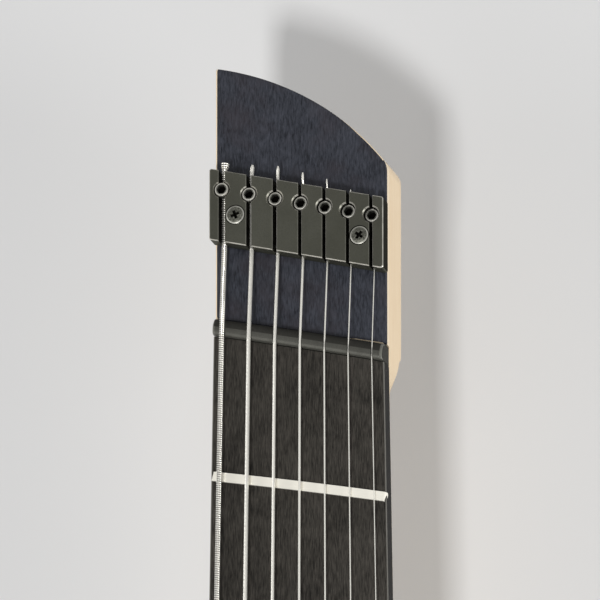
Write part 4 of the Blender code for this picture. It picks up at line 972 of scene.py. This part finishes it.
for x, gauge in zip(nut_x, gauges):
    side = max(gauge / 2 + 0.0001, 0.00046)
    clamp_cuts.append(pit((x - side, clamp_y(x) - 0.02), (x + side, clamp_y(x) + 0.04),
                          clamp_floor_z, clamp_top, 0.00014))
    bore = turned([(0.0, 0.01), (mouth + 0.002, 0.01), (mouth, clamp_height + 0.0001),
                   (bore_radius, clamp_height - chamfer), (bore_radius, 0.0), (0.0, 0.0)], 48)
    clamp_cuts.append(moved(bore, (x, clamp_y(x, bore_from_front), clamp_floor_z)))
screw_places = []
for first, second in ((0, 1), (5, 6)):
    x = (nut_x[first] + nut_x[second]) / 2
    y = clamp_y(x, screw_from_front)
    screw_places.append((x, y, clamp_top))
    sink = turned([(0.0, 0.004), (sink_radius, 0.004), (sink_radius, -0.0004),
                   (sink_shaft, -0.0014), (sink_shaft, -0.008), (0.0, -0.008)], 48)
    clamp_cuts.append(moved(sink, (x, y, clamp_top)))
block = worked(with_rim(block, clamp_top, clamp_lip), clamp_cuts)
# Painted light: the chamfers are painted bright as worn, lit edges and the walls dark as shade;
# chamfers facing the treble side inside the block are toned down, and the front wall is left
# unshaded.
mark_machined(block, clamp_top, clamp_lip, -0.8)
for face, mark in zip(block.polygons, block.attributes["edge"].data):
    if mark.value > 0 and face.normal.x > 0.5 and face.center.x < clamp_half - 0.001:
        mark.value = 0.2
    if face.normal.y < -0.5 and face.center.y < clamp_y(face.center.x) + 0.0005:
        mark.value = max(mark.value, 0.0)
fit("headpiece_block", block, black_metal, nodes="headpiece", sharp=20)


# Grub screws: one in each bore, pressing its string down, so the thinner the string, the
# deeper the screw. Blackened steel; the rim round the hexagon socket is worn and painted
# bright as a highlight, and the socket is painted dark as shade.
def socket_screw(radius, length, socket, depth):
    """Hexagon-socket screw with a chamfered rim; its foot is at the origin."""
    rim = 0.24 * radius
    body = turned([(0.0, length), (radius - rim, length), (radius - 0.4 * rim, length - 0.2 * rim),
                   (radius, length - rim), (radius, 0.0), (0.0, 0.0)], 40)
    key_hole = hexagon(socket, length - depth, length + 0.01)

    # The chamfered rim is marked as a worn edge and painted highlight, the socket's floor and
    # walls as painted shade.
    def wear_and_painted_light(face):
        out = face.center.xy.length
        if length - rim < face.center.z < length - 0.02 * rim and out > radius - rim:
            return 1.0
        inside = out < socket and face.center.z < length - 1e-5
        return 0.0 if not inside else -1.0 if face.normal.z > 0.5 else -0.7
    return mark_edge(worked(to_mesh(body), [to_mesh(key_hole)]), wear_and_painted_light)


grub_metal = fine_material(
    "grub_screw_black", (0.13, 0.13, 0.115), (0.22, 0.22, 0.19), 0.34, 0.8,
    6000.0, 0.000006, rubbed_highlight=(0.74, 0.72, 0.65), rubbed_roughness=0.26)
for index, (x, gauge) in enumerate(zip(nut_x, gauges)):
    number = 7 - index
    foot = clamp_floor_z + string_bed + gauge + 0.0003
    screw = socket_screw(0.0019, 0.0022, 0.0013, 0.0017)
    screw.transform(Matrix.Translation((x, clamp_y(x, bore_from_front), foot)))
    fit(f"grub_{number}", screw, grub_metal, nodes=f"grub_screw_{number}")


# Headpiece screws: two countersunk wood screws with a cross recess, sunk flush in the block
# and driven through the facing into the neck.
def cross_screw(radius, depth, recess, turn, shank=0.0014, length=0.006):
    """Countersunk head with its cross recess; the head's rim is at height 0."""
    head = turned([(0.0, radius * 0.09), (radius * 0.5, radius * 0.07), (radius * 0.86, 0.00003),
                   (radius, -0.0001), (radius, -0.0003), (shank, -depth), (shank, -length),
                   (0.0, -length)], 40)
    span, width = radius * 0.58, radius * 0.17
    cuts = []
    for quarter in (0.0, math.pi / 2):
        wedge = loft([
            [(-a, -b, z), (a, -b, z), (a, b, z), (-a, b, z)]
            for a, b, z in ((span * 0.55, width * 0.8, -recess), (span, width, 0.001))])
        cuts.append(moved(wedge, (0.0, 0.0, 0.0), turn + quarter, "Z"))

    # The rim is marked as a worn edge and painted highlight, the cross recess as painted shade.
    def wear_and_painted_light(face):
        out = face.center.xy.length
        if face.center.z > -0.00025 and out > radius * 0.86:
            return 0.8
        return -0.9 if out < radius * 0.6 and face.center.z < -0.00002 else 0.0
    return mark_edge(worked(to_mesh(head), cuts), wear_and_painted_light)


screw_metal = fine_material(
    "screw_black", (0.070, 0.070, 0.058), (0.26, 0.26, 0.22), 0.34, 0.85,
    2600.0, 0.00002, smudge=1300.0, rubbed_highlight=(0.60, 0.59, 0.53))
for number, (spot, turn) in enumerate(zip(screw_places, (0.35, 0.9)), 1):
    screw = cross_screw(screw_head_radius, 0.0016, 0.0013, turn)
    screw.transform(Matrix.Translation(spot))
    fit(f"clamp_screw_{number}", screw, screw_metal, nodes=f"headpiece_screw_{number}")


# Strings: bright steel, the three thickest wound. Each runs from its cut end through the
# headpiece, over nut and saddle, to its ball end in the carriage that pulls it.
string_metal = steel_material("string_steel", (1.0, 0.95, 0.87), 0.24, (1.0, 0.2, 1.0), 0.05, 0.6)


def string_group():
    """Wire along a guide; a winding raises a fine thread on it with painted shade in the grooves
    between its turns, and its cut end tapers.
    """
    group, source, result = geometry_group("string_wire", {
        "Radius": 0.0005, "Step": 0.0005, "Pitch": 0.0004, "Thread": 0.0, "Dirt": 0.0,
        "Sides": 10, "Taper": 0.002, "Tip": 0.5})
    fine = output(group, "GeometryNodeResampleCurve", {
        "Curve": as_curve(group, source["Geometry"]), "Length": source["Step"]}, mode="LENGTH")
    upright = output(group, "GeometryNodeSetCurveNormal", {"Curve": fine}, mode="Z_UP")
    along = output(group, "GeometryNodeSplineParameter", pick="Length")
    thin = ranged(group, along, 0.0, source["Taper"], source["Tip"], 1.0,
                  interpolation_type="SMOOTHSTEP")
    kept = captured(group, upright, "FLOAT", {"Along": along, "Girth": thin})
    circle = output(group, "GeometryNodeCurvePrimitiveCircle", {
        "Resolution": source["Sides"], "Radius": source["Radius"]}, mode="RADIUS")
    around = output(group, "GeometryNodeSplineParameter", pick="Factor")
    profile = captured(group, circle, "FLOAT", {"Around": around})
    turns = calc(group, "DIVIDE", kept["Along"], source["Pitch"])
    phase = calc(group, "MULTIPLY", calc(group, "ADD", turns, profile["Around"]), math.tau)
    wave = calc(group, "COSINE", phase)
    girth = calc(group, "MULTIPLY_ADD", calc(group, "SUBTRACT", kept["Girth"], 1.0),
                 source["Radius"], calc(group, "MULTIPLY", wave, source["Thread"]))
    marked = output(group, "GeometryNodeStoreNamedAttribute", {
        "Geometry": swept(group, kept["Geometry"], profile["Geometry"]), "Name": "groove",
        "Value": ranged(group, wave, 0.2, -0.4, 0.0, source["Dirt"])},
        data_type="FLOAT", domain="POINT")
    threaded = shifted(group, marked,
                       scaled(group, output(group, "GeometryNodeInputNormal"), girth))
    smooth = output(group, "GeometryNodeSetShadeSmooth", {0: threaded})
    return closed_group(group, source, result, smooth)


string_wire = string_group()
stubs = (0.0024, 0.0034, 0.0042, 0.0037, 0.0031, 0.0014, 0.0004)
leans = (0.0004, 0.0005, 0.0004, 0.0002, 0.0001, 0.0, 0.0)
# Each winding: pitch, thread share, strength of the painted shade between its turns, sides.
windings = ((0.00060, 0.18, 1.0, 12), (0.00036, 0.10, 0.3, 8), (0.00028, 0.10, 0.2, 8))
saddle_action = 0.0041
carriage_start = 0.0220
ball_z = 0.05565
ball_radius = 0.0018
for index, (gauge, stub, lean) in enumerate(zip(gauges, stubs, leans)):
    number = 7 - index
    radius = gauge / 2
    x0, x1 = nut_x[index], bridge_x[index]
    far = clamp_y(x0, clamp_length)
    low = clamp_floor_z + string_bed + radius
    saddle_y = fan_y(0.0, x1)
    saddle_z = board_z - camber(x1) + saddle_action + radius
    ball_y = saddle_y - carriage_start - 0.0015 - ball_radius
    path = [
        (x0 + lean, far + stub, low + 0.3 * stub),
        (x0 + 0.5 * lean, far + 0.5 * stub, low + 0.2 * stub),
        (x0, far, low), (x0, clamp_y(x0), low),
        (x0, fan_y(1.0, x0), board_z - camber(x0) + nut_action + radius),
        (x1, saddle_y, saddle_z), (x1, saddle_y - 0.0022, saddle_z - 0.00005),
        (x1, saddle_y - carriage_start + 0.0003, ball_z), (x1, ball_y, ball_z)]
    values = {"Radius": radius, "Step": 0.0003, "Sides": 10, "Taper": 0.25 * stub, "Tip": 0.5,
              "Finish": string_metal}
    if index < len(windings):
        pitch, thread_share, painted_shade, sides = windings[index]
        thread = thread_share * pitch
        values.update({"Radius": radius - thread, "Step": pitch / 4, "Pitch": pitch,
                       "Thread": thread, "Dirt": painted_shade, "Sides": sides})
    if index == 0:
        values["Taper"] = stub + 0.0008
    parts = [grown(string_wire, points_mesh(path, False), values)]
    ball = turned([(0.0, 0.0015), (ball_radius - 0.0003, 0.0015), (ball_radius, 0.0012),
                   (ball_radius, -0.0012), (ball_radius - 0.0003, -0.0015), (0.0, -0.0015)], 24)
    parts.append(moved(ball, (x1, ball_y, ball_z), math.pi / 2, "Y"))
    if index == 0:
        frayed = []
        for step in range(73):
            turns = step / 16
            share = step / 72
            swell = 0.00040 + 0.00052 * min(turns / 3.0, 1.0)
            frayed.append((x0 + lean * share + swell * math.cos(math.tau * turns),
                           far + 0.0001 + stub * share,
                           low + 0.3 * stub * share + swell * math.sin(math.tau * turns)))
        parts.append(grown(string_wire, points_mesh(frayed, False), {
            "Radius": 0.00017, "Step": 0.0002, "Sides": 8, "Taper": 0.0001, "Tip": 0.7,
            "Finish": string_metal}))
    string = fit(f"string_wire_{number}", joined(*parts), string_metal, "",
                 f"string_{number}", 40)
    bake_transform(string)


# Body core: light wood under clear satin, with its cavities, rounded towards the back. The
# top is a figured board glued on it, stained like the headstock's facing.
body_wood, tree, shader, _, _ = wood_material(
    "body_wood", (0.80, 0.61, 0.38), (0.50, 0.33, 0.17), 0.0013, 1.5, 0.05, 1.0,
    0.42, fibre_length=0.06)
plug(tree, shader, clear_satin)
fit_copy("core", "body_core", body_wood, bevel=0.0, sharp=40)
top_stain, tree, shader, _, _ = wood_material(
    "stained_top", stain_light, stain_dark, 0.0009, 2.4, 0.045, 0.8, 0.40,
    0.00004, 0.022)
plug(tree, shader, {"Specular IOR Level": 0.4})
fit_copy("top", "body_top", top_stain, bevel=0.0, sharp=40)


# Pickups: two sealed covers of black plastic let into the body, each with seven pole
# screws in two rows and a fixing screw at both ends.
plastic = fine_material("black_plastic", (0.020, 0.020, 0.020),
                        (0.036, 0.036, 0.036), 0.42)
pole_metal = steel_material("pole_steel", (0.62, 0.61, 0.59), 0.28)
pole_row = 0.0095
fixing_x = 0.0405
for node, y in (("neck_pickup", 0.129), ("bridge_pickup", 0.036)):
    fit_copy(f"{node}_cover", node, plastic, bevel=0.0012, segments=3, angle=50)
    share = (y - fan_y(0.0, 0.0)) / (nut_line - fan_y(0.0, 0.0))
    slope = (fan_y(share, 0.01) - fan_y(share, -0.01)) / 0.02
    cover_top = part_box(node)[1].z
    poles = []
    for x0, x1 in zip(nut_x, bridge_x):
        x = x1 + (x0 - x1) * share
        poles += [(x, y + slope * x + row, cover_top) for row in (-pole_row, pole_row)]
    pole = cross_screw(0.0021, 0.0008, 0.0008, 0.6, 0.0019, 0.002)
    fit_set(f"{node}_poles", pole, poles, pole_metal)
    ends = [(x, y + slope * x, cover_top) for x in (-fixing_x, fixing_x)]
    end_screw = cross_screw(0.0024, 0.0010, 0.0010, 0.3, 0.0015, 0.003)
    fit_set(f"{node}_screws", end_screw, ends, screw_metal)


# Bridge: a milled base with a channel for each string. A saddle stands in each channel, and
# behind it a carriage holds the ball end and is drawn back by its knurled knob.
saddle_metal = steel_material("saddle_steel", (0.66, 0.65, 0.62), 0.30, (1.0, 1.0, 0.2))
base_z = 0.0443
channel_z = 0.0473
wall_z = 0.0553
wall_lip = 0.0004
screw_axis_z = 0.0507
channel_half = 0.0045
end_wall = 0.00075
base_front = 0.0105
base_length = 0.0575
front_side, tail_side, bridge_cuts = [], [], []
for index, x in enumerate(bridge_x):
    front = fan_y(0.0, x) + base_front
    tail = front - base_length
    left = x - saddle_pitch / 2 - (end_wall if index == 0 else 0.0)
    right = x + saddle_pitch / 2 + (end_wall if index == 6 else 0.0)
    front_side += [(left, front), (right, front)]
    tail_side += [(left, tail), (right, tail)]
    bridge_cuts.append(pit((x - channel_half, tail + 0.0050), (x + channel_half, front - 0.0025),
                           channel_z, wall_z, 0.0002))
    hole = turned([(0.0, 0.01), (0.00205, 0.01), (0.00205, -0.01), (0.0, -0.01)], 32)
    bridge_cuts.append(moved(hole, (x, tail, screw_axis_z), math.pi / 2))
block = prism(tail_side + front_side[::-1], base_z, wall_z)
block = worked(with_rim(block, wall_z, wall_lip), bridge_cuts)
# The chamfers are painted bright as worn, lit edges, and the walls get a light painted shade.
fit("bridge_block", mark_machined(block, wall_z, wall_lip, -0.25), black_metal,
    nodes="bridge_base", sharp=20)
floor_screw = cross_screw(0.0018, 0.0010, 0.0010, 0.4, 0.0012, 0.003)
floor_places = [(x, fan_y(0.0, x) - 0.0146, channel_z + 0.0004) for x in bridge_x[::2]]
fit_set("bridge_screws", floor_screw, floor_places, screw_metal)


def knob_group():
    """Fluted barrel between two points, with chamfered ends."""
    group, source, result = geometry_group("knurled_barrel", {
        "Radius": 0.0046, "Flutes": 36, "Flute depth": 0.0003, "Chamfer": 0.0006})
    axis = as_curve(group, source["Geometry"])
    rings = output(group, "GeometryNodeResampleCurve", {"Curve": axis, "Count": 41},
                   mode="COUNT")
    along = output(group, "GeometryNodeSplineParameter", pick="Length")
    rest = calc(group, "SUBTRACT", output(group, "GeometryNodeCurveLength", {"Curve": axis}),
                along)
    cut = calc(group, "SUBTRACT", source["Chamfer"], calc(group, "MINIMUM", along, rest))
    lost = calc(group, "DIVIDE", calc(group, "MAXIMUM", cut, 0.0), source["Radius"])
    waisted = output(group, "GeometryNodeSetCurveRadius", {
        "Curve": rings, "Radius": calc(group, "SUBTRACT", 1.0, lost)})
    star = output(group, "GeometryNodeCurveStar", {
        "Points": source["Flutes"], "Outer Radius": source["Radius"],
        "Inner Radius": calc(group, "SUBTRACT", source["Radius"], source["Flute depth"])})
    return closed_group(group, source, result, swept(group, waisted, star))


knurled_barrel = knob_group()


def barrel(start, end, radius, flutes, depth, edge):
    return grown(knurled_barrel, points_mesh([start, end], False), {
        "Radius": radius, "Flutes": flutes, "Flute depth": depth, "Chamfer": edge,
        "Finish": black_metal})


for index, x in enumerate(bridge_x):
    number = 7 - index
    y = fan_y(0.0, x)
    tail = y + base_front - base_length
    knob_y = tail - 0.0003
    saddle = f"saddle_{number}"
    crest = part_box(saddle)[1].z
    fit_copy(f"saddle_block_{number}", saddle, saddle_metal, saddle, 0.00035, angle=30)
    height_screw = socket_screw(0.0012, 0.0030, 0.0006, 0.0010)
    posts = [(x + side, y - 0.0062, crest - 0.0038) for side in (-0.0026, 0.0026)]
    fit_set(f"saddle_screws_{number}", height_screw, posts, grub_metal, saddle)
    fit_copy(f"carriage_block_{number}", f"carriage_{number}", black_metal, f"carriage_{number}")
    knob = barrel((x, knob_y, screw_axis_z), (x, tail - 0.0110, screw_axis_z),
                  0.0046, 30, 0.00050, 0.0007)
    rod = turned([(0.0, 0.0335), (0.0013, 0.0335), (0.00175, 0.0330), (0.00175, 0.0), (0.0, 0.0)],
                 24)
    rod = moved(rod, (x, knob_y, screw_axis_z), -math.pi / 2)
    fit(f"tuning_knob_{number}", joined(knob, rod), black_metal, f"tuner_knob_{number}",
        f"tuner_knob_{number}", 25)


# Controls: volume and tone knobs on their potentiometers, and the pickup selector's lever
# in its slot. The knobs are fluted black metal with a white line.
knob_base = 0.0446
knob_top = 0.0601
mark_half = 0.0004
for part, (x, y) in (("volume", (0.098, 0.020)), ("tone", (0.108, -0.020))):
    fit_copy(f"{part}_can", f"{part}_pot", pole_metal)
    skirt = barrel((x, y, knob_base), (x, y, knob_top - 0.0022), 0.0095, 48, 0.0004, 0.0005)
    dome = turned([(r, knob_top - down) for r, down in (
        (0.0, 0.0002), (0.0066, 0.0002), (0.0080, 0.0007), (0.0088, 0.0016), (0.0090, 0.0026),
        (0.0, 0.0026))], 48)
    shaft = turned([(0.0, knob_base), (0.0030, knob_base), (0.0030, 0.0320), (0.0, 0.0320)], 24)
    fit(f"{part}_dial", joined(skirt, moved(dome, (x, y, 0.0)), moved(shaft, (x, y, 0.0))),
        black_metal, f"{part}_knob", f"{part}_knob", 25)
    line = rounded([(x + across * mark_half, y + along) for across, along in (
        (-1, 0.0018), (1, 0.0018), (1, 0.0064), (-1, 0.0064))], 0.0003)
    mark = prism(line, knob_top - 0.0010, knob_top)
    fit(f"{part}_mark", to_mesh(mark), dot_white, f"{part}_knob")
fit_copy("selector_frame", "selector_switch", pole_metal)
x, y, pivot = 0.080, 0.064, 0.024
blade_half, blade_thick, tip_start = 0.0020, 0.0014, 0.02316
side_view = [(blade_half * math.cos(a), blade_half * math.sin(a))
             for a in (math.pi * (1 + step / 12) for step in range(13))]
side_view += [(blade_half, tip_start + 0.005), (-blade_half, tip_start + 0.005)]
blade = loft([[(x + across, y + along, pivot + up) for along, up in side_view]
              for across in (-blade_thick / 2, blade_thick / 2)])
tip = turned([(0.0, 0.0105), (0.0018, 0.0104), (0.0029, 0.0098), (0.0034, 0.0086),
              (0.0030, 0.0030), (0.0025, 0.0003), (0.0022, 0.0), (0.0, 0.0)])
fit("selector_blade", joined(to_mesh(blade), moved(tip, (x, y, pivot + tip_start))),
    black_metal, "selector_lever", "selector_lever", 40)


# Back: the cover of the control cavity on its screws, and the neck plate with the heads of
# the four bolts that pull the heel into its pocket.
fit_copy("cavity_cover", "rear_cover", plastic)
fit_copy("bolted_plate", "neck_plate", black_metal)
head_down = (math.pi, 0.0, 0.0)
under_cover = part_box("rear_cover")[0].z
cover_screw = cross_screw(0.0026, 0.0012, 0.0011, 0.5, 0.0015, 0.004)
cover_places = [(x, y, under_cover) for x, y in (
    (0.0585, -0.030), (0.0585, 0.078), (0.112, -0.0495), (0.1338, 0.015), (0.119, 0.0678),
    (0.080, 0.0955))]
fit_set("cover_screws", cover_screw, cover_places, screw_metal, turn=head_down)
under_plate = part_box("neck_plate")[0].z
bolt = cross_screw(0.0045, 0.0016, 0.0015, 0.2, 0.0025, 0.004)
bolt_places = [(x, y, under_plate) for x in (-0.015, 0.015) for y in (0.175, 0.199)]
fit_set("neck_bolt_heads", bolt, bolt_places, screw_metal, turn=head_down)


# Output socket in the treble side, held by its hexagon nut, and the two strap buttons, each
# screwed to the body's edge over a felt ring.
fit_copy("output_socket", "output_jack", black_metal, bevel=0.0004)
nut_height = 0.0010
bore = turned([(0.0, 0.01), (0.0033, 0.01), (0.0033, -0.01), (0.0, -0.01)], 32)
jack_nut = worked(with_rim(hexagon(0.0062, 0.0, nut_height), nut_height, 0.0003),
                  [to_mesh(bore)])
jack_nut.transform(Matrix.Translation((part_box("output_jack")[1].x, -0.004, 0.020))
                   @ Matrix.Rotation(math.pi / 2, 4, "Y"))
fit("socket_nut", jack_nut, screw_metal)
felt = fine_material("felt_black", (0.012, 0.012, 0.012),
                     (0.045, 0.045, 0.045), 0.95, 0.0, 4200.0, 0.00006)
for place, (x, y), way in (("horn", (-0.116, 0.2985), 1), ("tail", (-0.064, -0.0815), -1)):
    fit_copy(f"{place}_button", f"strap_button_{place}", black_metal, bevel=0.0004)
    ring = turned([(0.0, 0.0010), (0.0066, 0.0010), (0.0069, 0.0007), (0.0069, 0.0001),
                   (0.0, 0.0001)], 40)
    fit(f"{place}_felt", moved(ring, (x, y, 0.020), -way * math.pi / 2), felt)
